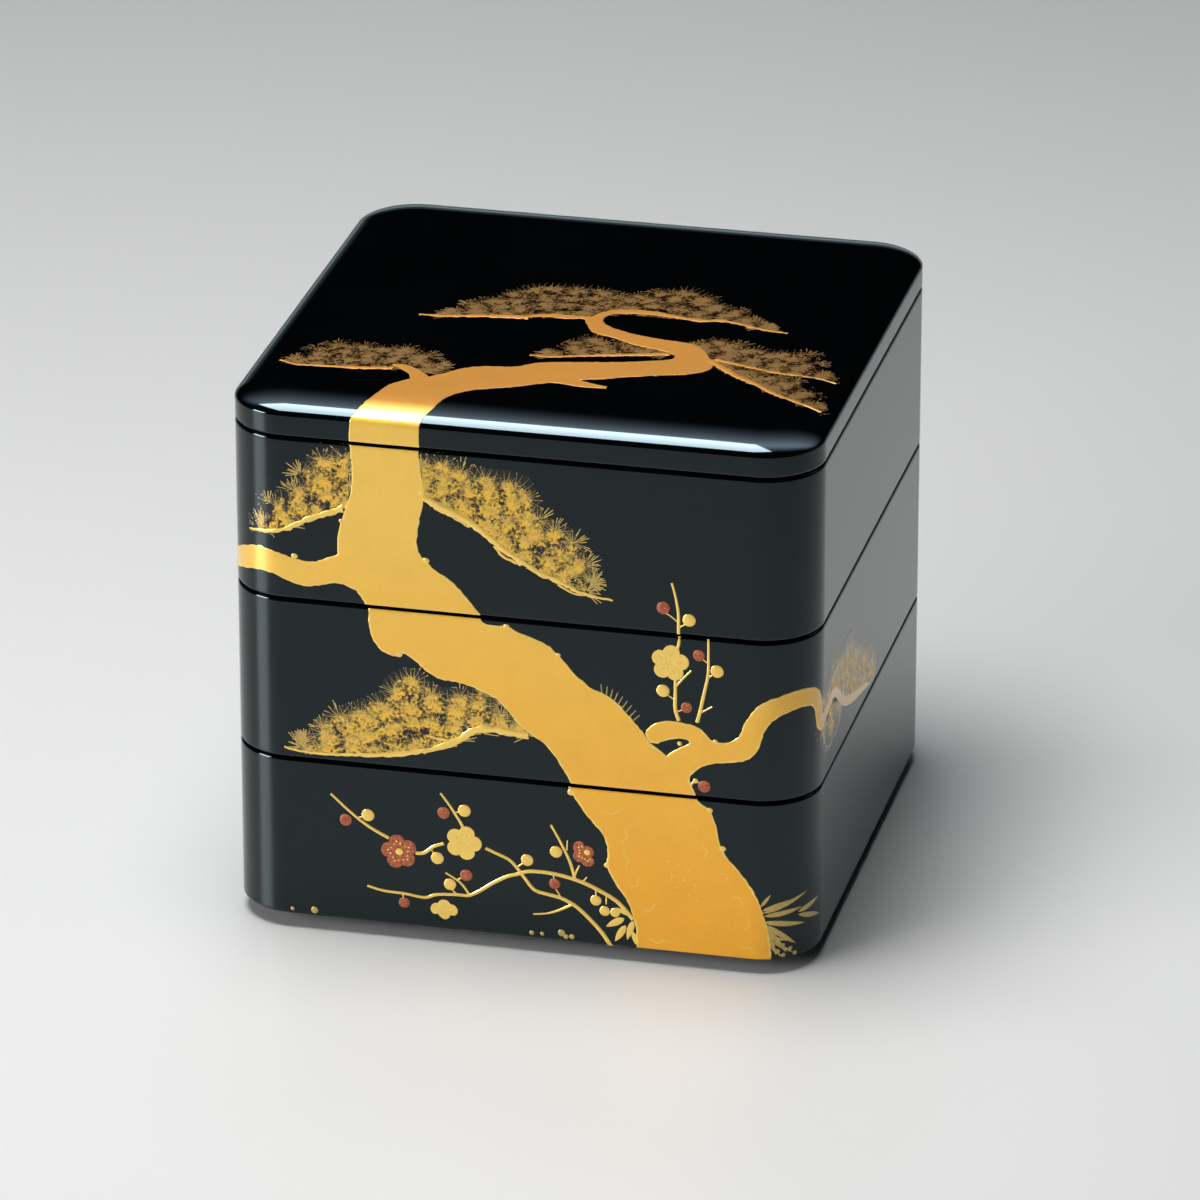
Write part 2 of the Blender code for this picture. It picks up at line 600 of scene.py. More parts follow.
def trim_to_lid(piece):
    """Cut a flat piece to the lid, and give it lines along the lid's shoulder."""
    shape = settings("shape")
    front = -half_side()
    bottom = front - shape.lid_side
    edit(piece)
    cut("y", bottom + SEAM_SPARE, clear=-1)
    for part in EDGE_BENDS:
        cut("y", bottom + shape.edge_radius * part)
    for i in range(shape.shoulder_steps + 1):
        turn = math.pi / 2 * i / shape.shoulder_steps
        cut("y", front + shape.shoulder_width * (1 - math.cos(turn)))
    leave_edit()


def keep_on_wall(piece, name):
    """Stop a flat piece short of the tier's edges."""
    low, high = wall_span(name)
    for vertex in piece.data.vertices:
        vertex.co.y = min(high - EDGE_SPARE, max(low + EDGE_SPARE, vertex.co.y))


def finish_relief(piece, name, look):
    """Bend a flat piece round its tier or over the lid, shade it and give it its finish."""
    low, high = wall_span(name)
    for vertex in piece.data.vertices:
        if name == "lid":
            vertex.co = lay_on_lid(*vertex.co)
        else:
            vertex.co = lay_on_wall(*vertex.co, low, high)
    piece.data.update()
    edit(piece, action="SELECT")
    bpy.ops.mesh.normals_make_consistent(inside=False)
    leave_edit()
    piece.data.materials.clear()
    piece.data.materials.append(finish(look))
    take(piece)
    bpy.ops.object.shade_smooth_by_angle(angle=RELIEF_SMOOTH)
    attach(piece, "root")


def sow(name, pattern, places):
    """Copies of one small shape in a single mesh.

    A place is (x, y, turn, long, wide, high): x and y in the drawing's millimetres, the turn
    in radians and the rest in metres.
    """
    shape = [vertex.co.copy() for vertex in pattern.data.vertices]
    faces = [tuple(face.vertices) for face in pattern.data.polygons]
    points, sides = [], []
    for x, y, turn, long, wide, high in places:
        first = len(points)
        right, ahead = math.cos(turn), math.sin(turn)
        for p in shape:
            a, b = p.x * long, p.y * wide
            points.append((x * MM + a * right - b * ahead, y * MM + a * ahead + b * right,
                           p.z * high))
        sides += [tuple(first + i for i in face) for face in faces]
    mesh = bpy.data.meshes.new(name)
    mesh.from_pydata(points, [], sides)
    mesh.update()
    piece = bpy.data.objects.new(name, mesh)
    bpy.context.scene.collection.objects.link(piece)
    return piece


# ---------------------------------------------------------------- finishes

NOISE = (0.3, 0.7)              # the range that most of a noise lies in
NOISE_ROUGHNESS = 0.6
GRAIN_DEPTH = 0.00003           # height of the bumps of the powder
GOLD_HEIGHTS = (0.030, 0.150)   # the trunks' gold is deep below the first, bright above the last
TRUNK_STEP = (0.9, 0.1)         # mm below the lid's top where the painted shade on the gold starts and is full
SHOULDER_STEP = (3.0, 0.8)      # the same for the painted shade on needles and dust, which starts on the shoulder


def give(tree, node, values):
    """Give each socket a plain value, or feed it from a (node, output)."""
    for socket, value in values.items():
        if isinstance(value, tuple) and len(value) == 2:
            tree.links.new(value[0].outputs[value[1]], node.inputs[socket])
        else:
            node.inputs[socket].default_value = value


def add_node(tree, kind, values=None, **fields):
    """A node with its fields set and its sockets given their values."""
    node = tree.nodes.new("ShaderNode" + kind)
    for field, value in fields.items():
        setattr(node, field, value)
    give(tree, node, values or {})
    return node


def mix_colour(tree, factor, first, second, blend="MIX"):
    """A mix of two colours, as (node, output)."""
    return add_node(tree, "Mix", {0: factor, 6: first, 7: second},
                    data_type="RGBA", blend_type=blend), 2


def spread(tree, source, low, high, new_low=0.0, new_high=1.0):
    """A value stretched from one range to another, as (node, output)."""
    return add_node(tree, "MapRange", {
        "Value": source, "From Min": low, "From Max": high,
        "To Min": new_low, "To Max": new_high}), 0


def maths(tree, operation, *values):
    """One sum with one or two values, as (node, output)."""
    return add_node(tree, "Math", dict(enumerate(values)), operation=operation), 0


def bump(tree, height, strength):
    """A fine bump over the surface, as (node, output)."""
    return add_node(tree, "Bump", {
        "Height": height, "Strength": strength, "Distance": GRAIN_DEPTH}), "Normal"


def split_place(tree, kind="Object"):
    """A node that puts out the X, Y and Z of a point."""
    return add_node(tree, "SeparateXYZ", {"Vector": (add_node(tree, "TexCoord"), kind)})


def toned(colour, amount):
    """A colour made darker or lighter."""
    return tuple(min(1.0, part * amount) for part in colour[:3]) + (1.0,)


def powder_group():
    """Fine powder: a grain and broad clouds over the surface."""
    found = bpy.data.node_groups.get("sprinkled_powder")
    if found:
        return found
    tree = bpy.data.node_groups.new("sprinkled_powder", "ShaderNodeTree")
    for name, value in (("Grain Size", 0.0005), ("Cloud Size", 0.02)):
        socket = tree.interface.new_socket(name, in_out="INPUT", socket_type="NodeSocketFloat")
        socket.default_value = value
    for name in ("Grain", "Clouds"):
        tree.interface.new_socket(name, in_out="OUTPUT", socket_type="NodeSocketFloat")
    start = tree.nodes.new("NodeGroupInput")
    end = tree.nodes.new("NodeGroupOutput")
    place = add_node(tree, "TexCoord")
    for size, out, detail in (("Grain Size", "Grain", 2.0), ("Cloud Size", "Clouds", 3.0)):
        noise = add_node(tree, "TexNoise", {
            "Vector": (place, "Object"), "Scale": maths(tree, "DIVIDE", 1.0, (start, size)),
            "Detail": detail, "Roughness": NOISE_ROUGHNESS})
        give(tree, end, {out: (noise, "Fac")})
    return tree


def new_finish(name, grain_size, cloud_size, values):
    """A material with plain values on its shader, and the powder group in it."""
    material = bpy.data.materials.new(name)
    material.use_nodes = True
    tree = material.node_tree
    shader = tree.nodes["Principled BSDF"]
    give(tree, shader, values)
    powder = add_node(tree, "Group", {"Grain Size": grain_size, "Cloud Size": cloud_size},
                      node_tree=powder_group())
    return material, tree, shader, powder


def lacquer_finish(name, colour, roughness):
    """Polished lacquer: deep, clear, and very slightly uneven in its shine."""
    material, tree, shader, powder = new_finish(name, 0.0012, 0.045, {
        "IOR": 1.45, "Specular Tint": (0.76, 0.97, 1.05, 1.0)})
    clouds = (powder, "Clouds")
    give(tree, shader, {
        "Base Color": mix_colour(tree, clouds, toned(colour, 0.82), toned(colour, 1.15)),
        "Roughness": spread(tree, clouds, *NOISE, roughness, roughness * 1.6)})
    return material


def on_the_lid(tree, step):
    """How far a point is up the crown of the lid, from 0 to 1, as (node, output); it places the
    painted shade on the lid.
    """
    start, full = (node_box["lid"][1].z - depth * MM for depth in step)
    return spread(tree, (split_place(tree), "Z"), start, full)


def gold_finish(name, low_gold, high_gold, lid_gold, roughness=0.28, grain=0.03,
                step=TRUNK_STEP):
    """Powdered metal under clear lacquer: satin, grainy, redder low down, darker on the lid as
    painted shade.
    """
    material, tree, shader, powder = new_finish(name, 0.0006, 0.016, {
        "Metallic": 0.38, "IOR": 1.5, "Specular IOR Level": 0.15,
        "Coat IOR": 1.55, "Coat Roughness": 0.07})
    height = spread(tree, (split_place(tree), "Z"), *GOLD_HEIGHTS)
    crown = on_the_lid(tree, step)
    # On the lid's crown the gold turns into its darker copy: painted shade.
    tone = mix_colour(tree, crown, mix_colour(tree, height, low_gold, high_gold), lid_gold)
    shade = maths(tree, "MULTIPLY",
                  spread(tree, (powder, "Grain"), *NOISE, 1 - 2 * grain, 1.0),
                  spread(tree, (powder, "Clouds"), *NOISE, 0.94, 1.0))
    grey = add_node(tree, "CombineColor", {"Red": shade, "Green": shade, "Blue": shade})
    give(tree, shader, {
        "Base Color": mix_colour(tree, 1.0, tone, (grey, "Color"), "MULTIPLY"),
        "Roughness": spread(tree, crown, 0.0, 1.0, roughness, roughness + 0.20),
        "Coat Weight": spread(tree, crown, 0.0, 1.0, 0.95, 0.05),
        "Normal": bump(tree, (powder, "Grain"), 0.10)})
    return material


def dust_finish(name, ground, gold, lid_gold):
    """Gold dust thinning out to bare lacquer, by the dust value along the surface."""
    material, tree, shader, powder = new_finish(name, 0.0011, 0.0030, {"IOR": 1.52})
    amount = add_node(tree, "Attribute", attribute_name="dust")
    grains = maths(tree, "ADD", (powder, "Grain"), (amount, "Fac"))
    patches = spread(tree, (powder, "Clouds"), *NOISE, -0.16, 0.16)
    mask = spread(tree, maths(tree, "ADD", grains, patches), 0.76, 1.02)
    # On the lid the dust's gold turns into the darker needle gold: painted shade.
    tone = mix_colour(tree, on_the_lid(tree, SHOULDER_STEP), gold, lid_gold)
    give(tree, shader, {
        "Base Color": mix_colour(tree, mask, ground, tone),
        "Metallic": spread(tree, mask, 0.0, 1.0, 0.0, 0.8),
        "Roughness": spread(tree, mask, 0.0, 1.0, 0.05, 0.45)})
    return material


def red_finish(name, colour):
    """Red lacquer with a little gold dust in it."""
    material, tree, shader, powder = new_finish(name, 0.0008, 0.004, {"Roughness": 0.35})
    grain = (powder, "Grain")
    warm = (min(1.0, colour[0] * 1.25), colour[1] * 2.2, colour[2] * 1.6, 1.0)
    give(tree, shader, {
        "Base Color": mix_colour(tree, spread(tree, grain, 0.35, 0.65), toned(colour, 0.6), warm),
        "Normal": bump(tree, grain, 0.3)})
    return material


def floor_finish(name, colour):
    """Smooth pale board with faint broad clouds."""
    material, tree, shader, powder = new_finish(name, 0.004, 0.6, {
        "Roughness": 0.35, "Specular IOR Level": 0.5})
    give(tree, shader, {
        "Base Color": mix_colour(tree, (powder, "Clouds"), colour, toned(colour, 1.06))})
    return material


def finish(name):
    """One of the box's materials, made the first time that it is asked for."""
    found = bpy.data.materials.get(name)
    if found:
        return found
    colours = settings("colours")
    # The lid's colours are darker copies of the golds, painted shade on the crown.
    black, gold, deep, pale, needle, lid_gold, lid_shaded_needle = (
        tuple(getattr(colours, key)) for key in (
            "black", "gold", "deep_gold", "pale_gold", "needle_gold", "lid_gold", "lid_needles"))
    fan = tuple(0.62 * a + 0.38 * b for a, b in zip(needle, gold))
    maker, *values = {
        "black_lacquer": (lacquer_finish, black, 0.045),
        "vermilion_lacquer": (lacquer_finish, tuple(colours.vermilion), 0.10),
        "gold_powder": (gold_finish, deep, gold, lid_gold),
        "pale_gold_line": (gold_finish, pale, pale, lid_gold),
        "needle_gold": (gold_finish, needle, needle, lid_shaded_needle, 0.34, 0.14, SHOULDER_STEP),
        "fan_gold": (gold_finish, fan, fan, lid_shaded_needle, 0.34, 0.16, SHOULDER_STEP),
        "gold_dust": (dust_finish, black, toned(gold, 0.9), lid_shaded_needle),
        "red_lacquer": (red_finish, tuple(colours.red)),
        "pale_floor": (floor_finish, tuple(settings("stage").floor_colour)),
    }[name]
    return maker(name, *values)


# ---------------------------------------------------------------- the picture's own drawing

# Each trunk is the lines round its gold area, in order. Between two lines that don't meet
# lies a seam of the box or the tip of a branch.
UPPER_TRUNK = (
    [(-54.5, 177), (-53.5, 165), (-54, 158), (-56.5, 149), (-58.5, 142), (-58.5, 135)],
    [(-58.5, 135), (-65, 132), (-71, 131.5), (-79, 133.5), (-86, 134.5), (-92, 133),
     (-98, 130.5), (-105, 127.5), (-113, 125), (-122, 124), (-132, 125.5), (-142, 129.5),
     (-152, 134.5), (-161, 137), (-170, 137.5)],
    [(-170, 136.5), (-160, 134), (-151, 130.5), (-142, 125.5), (-132, 121.5), (-122, 119.5),
     (-113, 120), (-105, 122), (-95, 125), (-86, 127), (-80, 126.5), (-75, 124.5), (-69, 123.5),
     (-60, 125.5), (-55, 124.5), (-52, 122.5), (-50, 119.5), (-49, 116)],
    [(-10, 115), (-13, 119.5), (-18, 125.5), (-22, 129.5), (-27, 132.5), (-30, 135.5),
     (-31.5, 137), (-33, 141), (-32.5, 148), (-31, 155), (-30.5, 160), (-31.5, 166),
     (-32.5, 177)],
)
MIDDLE_TRUNK = (
    [(-49, 121), (-48.5, 117), (-48.5, 112), (-47.5, 107.5), (-45.5, 104), (-42.5, 102),
     (-40, 101.5), (-37.5, 103)],
    [(-37.5, 103), (-33, 100.5), (-30, 97.5), (-25, 95), (-20, 94.5), (-15, 93.5), (-10, 91.5),
     (-6, 89.5), (-3, 86.5), (0, 83), (2, 80.5), (6, 78), (10, 75), (13.5, 71), (16, 67),
     (18.5, 62.5), (20, 58)],
    [(60, 58), (59, 62.5), (57.5, 66), (57.5, 69), (60.5, 72), (64, 74), (70, 75), (76, 76.5),
     (79.5, 80), (81.5, 86), (84.5, 90.5), (89, 93), (95, 94), (100, 93), (102, 90),
     (102.5, 86), (104, 83), (108, 82), (115, 83.5), (121, 85.5), (127, 84.5), (133, 80.5),
     (140, 76), (150, 72), (162, 69), (180, 65.5)],
    [(180, 66.5), (162, 71), (150, 74.5), (140, 79), (133, 84), (127, 87.5), (121, 88.5),
     (114, 87), (109, 86), (107, 87), (106, 91.5), (104, 96), (100.5, 98.5), (95, 99.5),
     (90, 99), (83, 97), (79, 93.5), (76, 89), (74, 84), (70, 81.5), (65, 81.5), (63.5, 83),
     (60, 86), (55, 87), (50, 87), (46, 85.5), (43.5, 83)],
    [(43.5, 83), (44, 80.5), (46, 79.5), (50, 81), (53, 82), (57, 82), (58, 81), (57, 79.5),
     (53.5, 77.5), (50, 74.5)],
    [(50, 74.5), (47.5, 76.5), (44, 79), (42, 82), (37, 88), (33, 92), (28, 95), (25, 96),
     (20, 100), (18, 102), (14, 106.5), (10, 110), (5, 112), (0, 113.5), (-3, 115), (-9.5, 115),
     (-12, 117), (-14, 121)],
)
LOWER_TRUNK = (
    [(16, 64), (18.5, 59.5), (20, 57), (22, 54), (25, 50), (28.5, 46), (30.5, 42), (31, 37),
     (30.5, 34), (32, 30.5), (35, 25.5), (38, 21), (39.5, 16), (40.5, 11), (40.5, 3)],
    [(84.5, 3), (84, 13), (82.5, 19), (80.5, 25.5), (78, 30.5), (74.5, 35.5), (70, 40.5),
     (68, 44), (67, 47), (66, 52), (64.5, 56.5), (62, 58.5), (59.5, 60.5), (59, 64)],
)
LID_TRUNK = (
    [(-54.5, -107), (-54, -97.5), (-51.5, -88), (-49.5, -80), (-47.5, -73), (-44.5, -69),
     (-42, -66)],
    [(-42, -66), (-44, -61.5), (-48, -57.5), (-51, -55.5)],
    [(-51, -55.5), (-47, -55), (-41.5, -58.5), (-37, -63.5)],
    [(-37, -63.5), (-32.5, -59), (-27.5, -53.5), (-21.5, -50.5), (-12, -48.5), (-5, -43.5),
     (5, -40.5), (20, -37), (30, -33.5), (35, -31.5), (37, -29), (36, -26), (31, -23),
     (22, -20.5), (14, -16), (6, -12.5), (2, -5), (0, -1.5), (-6, -2.5), (-13, -2.5),
     (-19, -4.5)],
    [(-19, -4), (-12, -0.5), (-5, 0), (2, 0.5), (4, 4), (8, 8), (14, 9.5), (22, 9.5), (32, 6.5)],
    [(32, 6), (21, 7), (13, 6.5), (8, 4.5), (6, 1), (7, -4), (12, -8.5), (20, -12), (30, -14.5),
     (38, -15.5), (43.5, -19.5), (47, -25.5), (50, -32), (48.5, -38), (42, -42.5), (35, -44.5),
     (25, -48.5), (17.5, -52), (10, -54.5)],
    [(10, -54.5), (15, -57), (21, -58.5)],
    [(21, -59.5), (13, -60), (4, -58.5), (-2, -61), (-7.5, -64.5), (-16.5, -68.5), (-23, -72.5),
     (-27.5, -79), (-30, -89), (-32, -97.5), (-32, -107)],
)
TRUNKS = {"lid": LID_TRUNK, "upper_tier": UPPER_TRUNK, "middle_tier": MIDDLE_TRUNK,
          "lower_tier": LOWER_TRUNK}

# Each cluster is the line of its branch and the line of its outer edge, left to right.
CLUSTERS = {
    "lid": (
        ([(-42, -8.5), (-35, -7), (-15, -4.5), (-5, -1.5), (4, 2), (8, 5)],
         [(-43, -3), (-42, 2), (-40, 6), (-36, 10), (-32, 16), (-27, 22), (-20, 27), (-8, 28.5),
          (0, 28), (7, 23)]),
        ([(4, 2), (12, 5), (20, 4.5), (38, 5), (45, 6), (56, 3.2), (60, 2.2)],
         [(6, 22), (13, 26), (21, 32), (28, 35), (36, 30), (41, 24), (46, 19.5), (50, 18),
          (55, 12), (59, 6)]),
        ([(-83, -61.8), (-74, -61.5), (-60, -60.5), (-47, -59), (-38, -60)],
         [(-83, -55), (-81, -49), (-79, -45), (-75, -40.5), (-70, -38), (-60, -39.5), (-52, -36.5),
          (-46, -38.5), (-41, -43), (-36, -50)]),
        ([(-3, -36.5), (1, -36), (8, -33), (15, -30.5), (25, -28), (35, -26.5)],
         [(-4, -32), (-3, -27), (0, -22), (4, -16), (9, -15), (15, -18), (24, -21.5)]),
        ([(46, -22), (50, -26), (57, -29), (66, -32), (78, -34.5), (86, -35.5)],
         [(40, -15), (43.5, -10), (49, -8), (56, -10.5), (63, -14), (76, -13), (81, -17),
          (84, -23), (86, -29)]),
        ([(50, -29.5), (55, -35), (60, -40), (67, -45), (75, -52), (83, -57), (88, -59.5)],
         [(60, -31), (68, -34), (76, -37), (83, -40), (87, -45), (89.5, -50), (89.5, -55.5)]),
    ),
    "upper_tier": (
        ([(-85.5, 140.5), (-82, 141), (-76, 142.5), (-70, 146), (-63, 149), (-55, 151.5)],
         [(-84, 145), (-83.5, 150), (-80, 155), (-75, 157.5), (-72, 161), (-71, 165.5),
          (-68, 169), (-64, 171), (-56, 172.5)]),
        ([(-31, 157.5), (-25, 154.5), (-18, 151.5), (-12, 148.5), (-7, 144.5), (-3, 141),
          (3, 137.5), (8, 134.5), (14, 132.5), (20, 131.2), (23.5, 130.8)],
         [(-31, 173), (-21, 172.5), (-16, 170), (-8, 170), (2, 169), (6, 166), (8, 160.5),
          (10, 154.5), (15, 153.5), (20, 150), (23, 145), (25.5, 138.5), (25, 134)]),
        ([(-188, 132), (-180, 134), (-168, 136.5), (-154, 134.5), (-142, 129), (-133, 125.5)],
         [(-186, 139), (-182, 147), (-174, 152), (-165, 156), (-154, 154), (-145, 149),
          (-137, 141), (-131, 132)]),
    ),
    "middle_tier": (
        ([(-71, 64.6), (-66, 64.2), (-58, 64.5), (-46, 66), (-35, 67), (-28, 69.5), (-20, 71.5),
          (-15, 76), (-8, 77.5), (3, 77.5)],
         [(-71, 69), (-67, 75), (-61, 80.5), (-54, 84), (-46, 88), (-43, 94), (-37, 97.5),
          (-32, 96.5), (-26, 92), (-19, 92.5), (-12, 92.5), (-5, 89), (0, 83.5)]),
        ([(112, 80), (119, 84), (127, 83), (134, 79), (142, 75), (152, 72), (170, 68),
          (192, 66)],
         [(109, 91), (118, 96), (128, 97), (140, 97), (150, 98), (157, 93), (166, 87),
          (176, 82), (186, 74)]),
        ([(108, 84), (114, 84), (121, 86), (127, 85), (133, 81)],
         [(112, 77), (115, 72.5), (122, 70.5), (130, 72), (135, 76)]),
    ),
}
# Thin branches under the needles: points, and the width at the start and at the end.
BOUGHS = {
    "lid": (
        ([(-54, -10), (-45, -9.5), (-35, -7), (-18, -4.5)], 0.5, 1.5),
        ([(30, 6.5), (38, 5.5), (45, 7), (52, 5), (60, 2), (68, 1)], 1.3, 0.5),
        ([(-88, -58.5), (-82, -62), (-75, -61.5), (-62, -60.5), (-50, -58)], 0.5, 1.2),
        ([(-10, -37), (-3, -37), (8, -33.5), (20, -30), (34, -26)], 0.5, 1.2),
        ([(48, -28), (55, -35), (60, -40), (67, -45), (75, -52), (83, -57), (92, -61)], 1.5, 0.5),
        ([(50, -27), (60, -30.5), (72, -34), (83, -35), (92, -36)], 1.0, 0.4),
    ),
    "upper_tier": (
        ([(-57, 151.5), (-63, 149), (-70, 146), (-76, 142.5), (-82, 141), (-90, 139.8)], 1.6, 0.5),
        ([(-30, 157.5), (-25, 155), (-18, 152), (-12, 148.5), (-7, 144.8), (-3, 141.5),
          (3, 138), (9, 134.5)], 1.8, 1.2),
        ([(-27, 154.8), (-21, 152), (-15, 149)], 0.7, 0.5),
        ([(-7, 143.3), (-4, 139.8), (2, 137.5)], 0.7, 0.6),
        ([(9, 134.5), (14, 133), (20, 130.2), (26, 128.8), (32, 128)], 1.2, 0.5),
        ([(14, 131.6), (19, 129.3), (24, 128.9)], 0.6, 0.4),
        ([(-168, 137), (-178, 135), (-190, 131.5)], 1.4, 0.5),
    ),
    "middle_tier": (
        ([(4, 77.5), (-3, 78), (-10, 78.5), (-15, 77), (-19, 73.5), (-24, 71), (-31, 68.5)],
         1.9, 1.3),
        ([(-31, 68.5), (-40, 66.3), (-50, 65.2), (-60, 64.2), (-70, 64), (-78, 65.2)], 1.2, 0.5),
        ([(-18, 74.5), (-23, 73), (-30, 74)], 1.0, 0.5),
        ([(113, 85), (118, 90), (126, 93), (134, 93)], 1.0, 0.5),
        ([(178, 66), (186, 64.8), (194, 65.5)], 0.8, 0.4),
    ),
}
# Knots along the trunks: middle and radius.
KNOTS = {
    "upper_tier": ((-73.5, 133.2, 1.1), (-57.8, 147, 0.8), (-29.7, 135.8, 1.2), (-31, 159, 0.9)),
    "middle_tier": ((-3, 115.2, 1.1), (-39, 102, 1.2), (66, 81.8, 0.9), (14, 107, 0.9)),
    "lower_tier": ((18.3, 58.8, 1.3), (64.3, 57.2, 1.1), (68.6, 44, 1.2), (30.3, 34, 1.1)),
    "lid": ((-32, -60.5, 1.0), (34, -45, 1.0)),
}
# Wavy lines of bark: middle, length and turn in degrees.
BARK = (
    (32, 53, 7, 6), (59.5, 50.5, 5.5, 118), (63, 42.5, 6, 100), (36.5, 45, 7, 76),
    (36.8, 36.5, 7, 98), (40, 28.5, 6, 60), (69.5, 34.5, 5, 140), (74, 26.5, 6, 152),
    (45, 20, 6.5, 38), (47.5, 8.5, 7.5, 2), (77.5, 9, 6, 160), (77.5, 17.5, 4.5, 75),
    (54, 36.5, 1.5, 60), (57.5, 35, 1.4, 10), (52, 32.8, 1.6, 100), (56, 31.5, 1.5, 40),
    (59.5, 30, 1.4, 130), (53.5, 28.5, 1.5, 20), (57.5, 26.5, 1.6, 80), (62, 33, 1.3, 30),
    (50.5, 37.5, 1.3, 150), (60.5, 24.5, 1.3, 60),
)
# Plum twigs: points, and the width at the start and at the end.
TWIGS = {
    "upper_tier": (
        ([(53.7, 116), (53.7, 125), (52.8, 131), (51.5, 136)], 1.3, 0.8),
        ([(53.5, 122.5), (51, 124.5), (49, 125.5)], 0.6, 0.5),
        ([(53.7, 120.5), (56, 122)], 0.6, 0.5),
    ),
    "middle_tier": (
        ([(54, 88), (52.8, 92), (52.8, 98), (52.8, 103)], 1.5, 1.1),
        ([(53.3, 112.5), (54, 116), (54, 120)], 1.1, 1.1),
        ([(53, 100), (55, 102.5), (58, 106)], 0.9, 0.6),
        ([(52.8, 95), (50.5, 96.5)], 0.6, 0.5),
        ([(53, 91), (55.5, 92)], 0.6, 0.5),
        ([(60, 88), (61, 92), (62, 97), (62.8, 101), (63.6, 106), (63.6, 117.3)], 1.4, 0.8),
        ([(61.2, 91.5), (65, 94)], 0.7, 0.5),
        ([(63, 103.5), (65.5, 105.5)], 0.6, 0.5),
        ([(63.6, 109), (61.5, 110.5)], 0.6, 0.5),
        ([(57.8, 65), (59.3, 67.3), (61, 66.5)], 0.9, 0.6),
    ),
    "lower_tier": (
        ([(-62.5, 50), (-57, 45), (-52, 41), (-48, 38.5), (-43, 36)], 0.9, 1.3),
        ([(-53.5, 42), (-51.5, 43)], 0.6, 0.5),
        ([(-34, 31.5), (-31, 32), (-28, 34.5), (-24.5, 36)], 1.4, 1.2),
        ([(-29, 33.5), (-27, 31.5)], 0.6, 0.5),
        ([(-25.5, 54), (-22.5, 50), (-19, 44.5), (-18, 42.5)], 0.8, 1.2),
        ([(-21, 47.5), (-18.5, 48)], 0.6, 0.5),
        ([(-10.5, 35.8), (-6, 34), (-2.5, 32.5), (0, 30), (3, 26), (6, 22.5), (10, 21.5),
          (15, 20.5), (20, 18), (25, 13.5), (29, 9), (32, 4)], 1.2, 1.7),
        ([(0, 30), (2.5, 32)], 0.6, 0.5),
        ([(-50.5, 18), (-45, 16.8), (-38, 16.5), (-31, 15.8), (-27, 17.3), (-20, 18),
          (-16, 18.2), (-12, 20.5), (-8, 23.5), (-3, 26.5), (0, 27.5), (4, 29), (10, 29.2),
          (16, 28.5), (22, 27), (28, 24.5), (34, 21), (39, 15.5)], 1.0, 1.7),
        ([(-38.5, 16.4), (-38.2, 14.5)], 0.5, 0.5),
        ([(-24, 25.5), (-19, 22.5), (-16, 18.5)], 0.7, 1.0),
        ([(-20.5, 23.2), (-18, 24.5)], 0.6, 0.5),
        ([(-22, 19.8), (-20, 18)], 0.6, 0.6),
        ([(11.5, 46.5), (14, 42), (16, 38), (18, 33.5), (19.5, 28)], 0.9, 1.2),
        ([(19.3, 29), (21, 33)], 0.9, 0.6),
        ([(16.8, 38), (17, 41.5)], 0.6, 0.4),
        ([(12.3, 29), (12.5, 26.5)], 0.5, 0.5),
        ([(15, 20.5), (13.2, 23.5)], 0.6, 0.5),
        ([(5.5, 13.8), (10, 14.5), (14, 16), (18.5, 18.5)], 0.6, 1.0),
        ([(22, 27), (23.5, 29)], 0.6, 0.4),
        ([(30, 23.3), (30, 20)], 0.6, 0.5),
        ([(26.5, 25), (26.5, 22)], 0.6, 0.5),
    ),
}
# Plum blossoms: middle, radius, turn in degrees, petals and colour.
BLOSSOMS = {
    "middle_tier": ((51, 108, 6.2, 10, 5, "gold"),),
    "lower_tier": (
        (-39.5, 31.5, 6.0, 30, 5, "red"), (-17.8, 37, 6.0, 0, 5, "gold"),
        (23.6, 38.0, 5.0, 150, 3, "red"), (-24.5, 10.9, 4.8, 28, 3, "gold"),
    ),
}
# Buds: middle, radius and colour.
BUDS = {
    "upper_tier": ((48.7, 127, 2.2, "red"), (57.2, 123.5, 2.2, "gold")),
    "middle_tier": (
        (48.7, 98, 2.2, "gold"), (56.5, 92.8, 1.9, "red"), (66.5, 106.5, 2.2, "gold"),
        (60.5, 111.5, 2.0, "red"), (62.5, 65.5, 2.1, "red"), (59.6, 67.2, 0.9, "gold"),
        (54.3, 79.9, 0.8, "gold"),
    ),
    "lower_tier": (
        (-57.5, 41, 2.1, "red"), (-50, 43.5, 2.2, "gold"), (-26.7, 30.5, 2.2, "gold"),
        (-24.5, 47, 2.1, "red"), (-17.5, 48.5, 2.2, "gold"), (3.5, 33, 2.1, "gold"),
        (-38, 13.2, 1.9, "red"), (-22.5, 21.5, 2.1, "gold"), (-17, 25.3, 2.1, "red"),
        (13.2, 37, 2.1, "gold"), (12.7, 25.5, 1.9, "red"), (26.5, 21, 1.9, "gold"),
        (29.5, 17.5, 1.8, "gold"), (33, 17.3, 1.7, "gold"),
    ),
}
# Bamboo leaves on either side of the trunk: root, tip and width.
LEFT_LEAVES = (
    (36, 15.5, 30, 12, 2.3), (36.5, 13, 33, 7, 2.2), (39, 15, 37, 8, 2.0), (38, 17, 33, 19, 1.6),
    (39, 11, 40, 6.5, 1.5),
)
RIGHT_LEAVES = (
    (82, 23, 91, 26, 1.4), (82.5, 21, 96, 22.5, 1.7), (94.5, 21, 105, 23, 1.7),
    (82.5, 19, 97, 16.5, 1.8), (94.5, 20, 106, 16.5, 1.7), (83, 18, 93.5, 10, 1.7),
    (83.5, 17, 90, 7.5, 1.4), (84, 15, 86.5, 7, 1.2), (81.5, 24.5, 84.5, 28.5, 1.0),
    (82, 22, 98, 27.5, 1.5), (84, 13.5, 91.5, 11.5, 0.9), (85, 12, 92.5, 7, 0.9),
    (84.5, 10.5, 88.5, 6, 0.9),
)
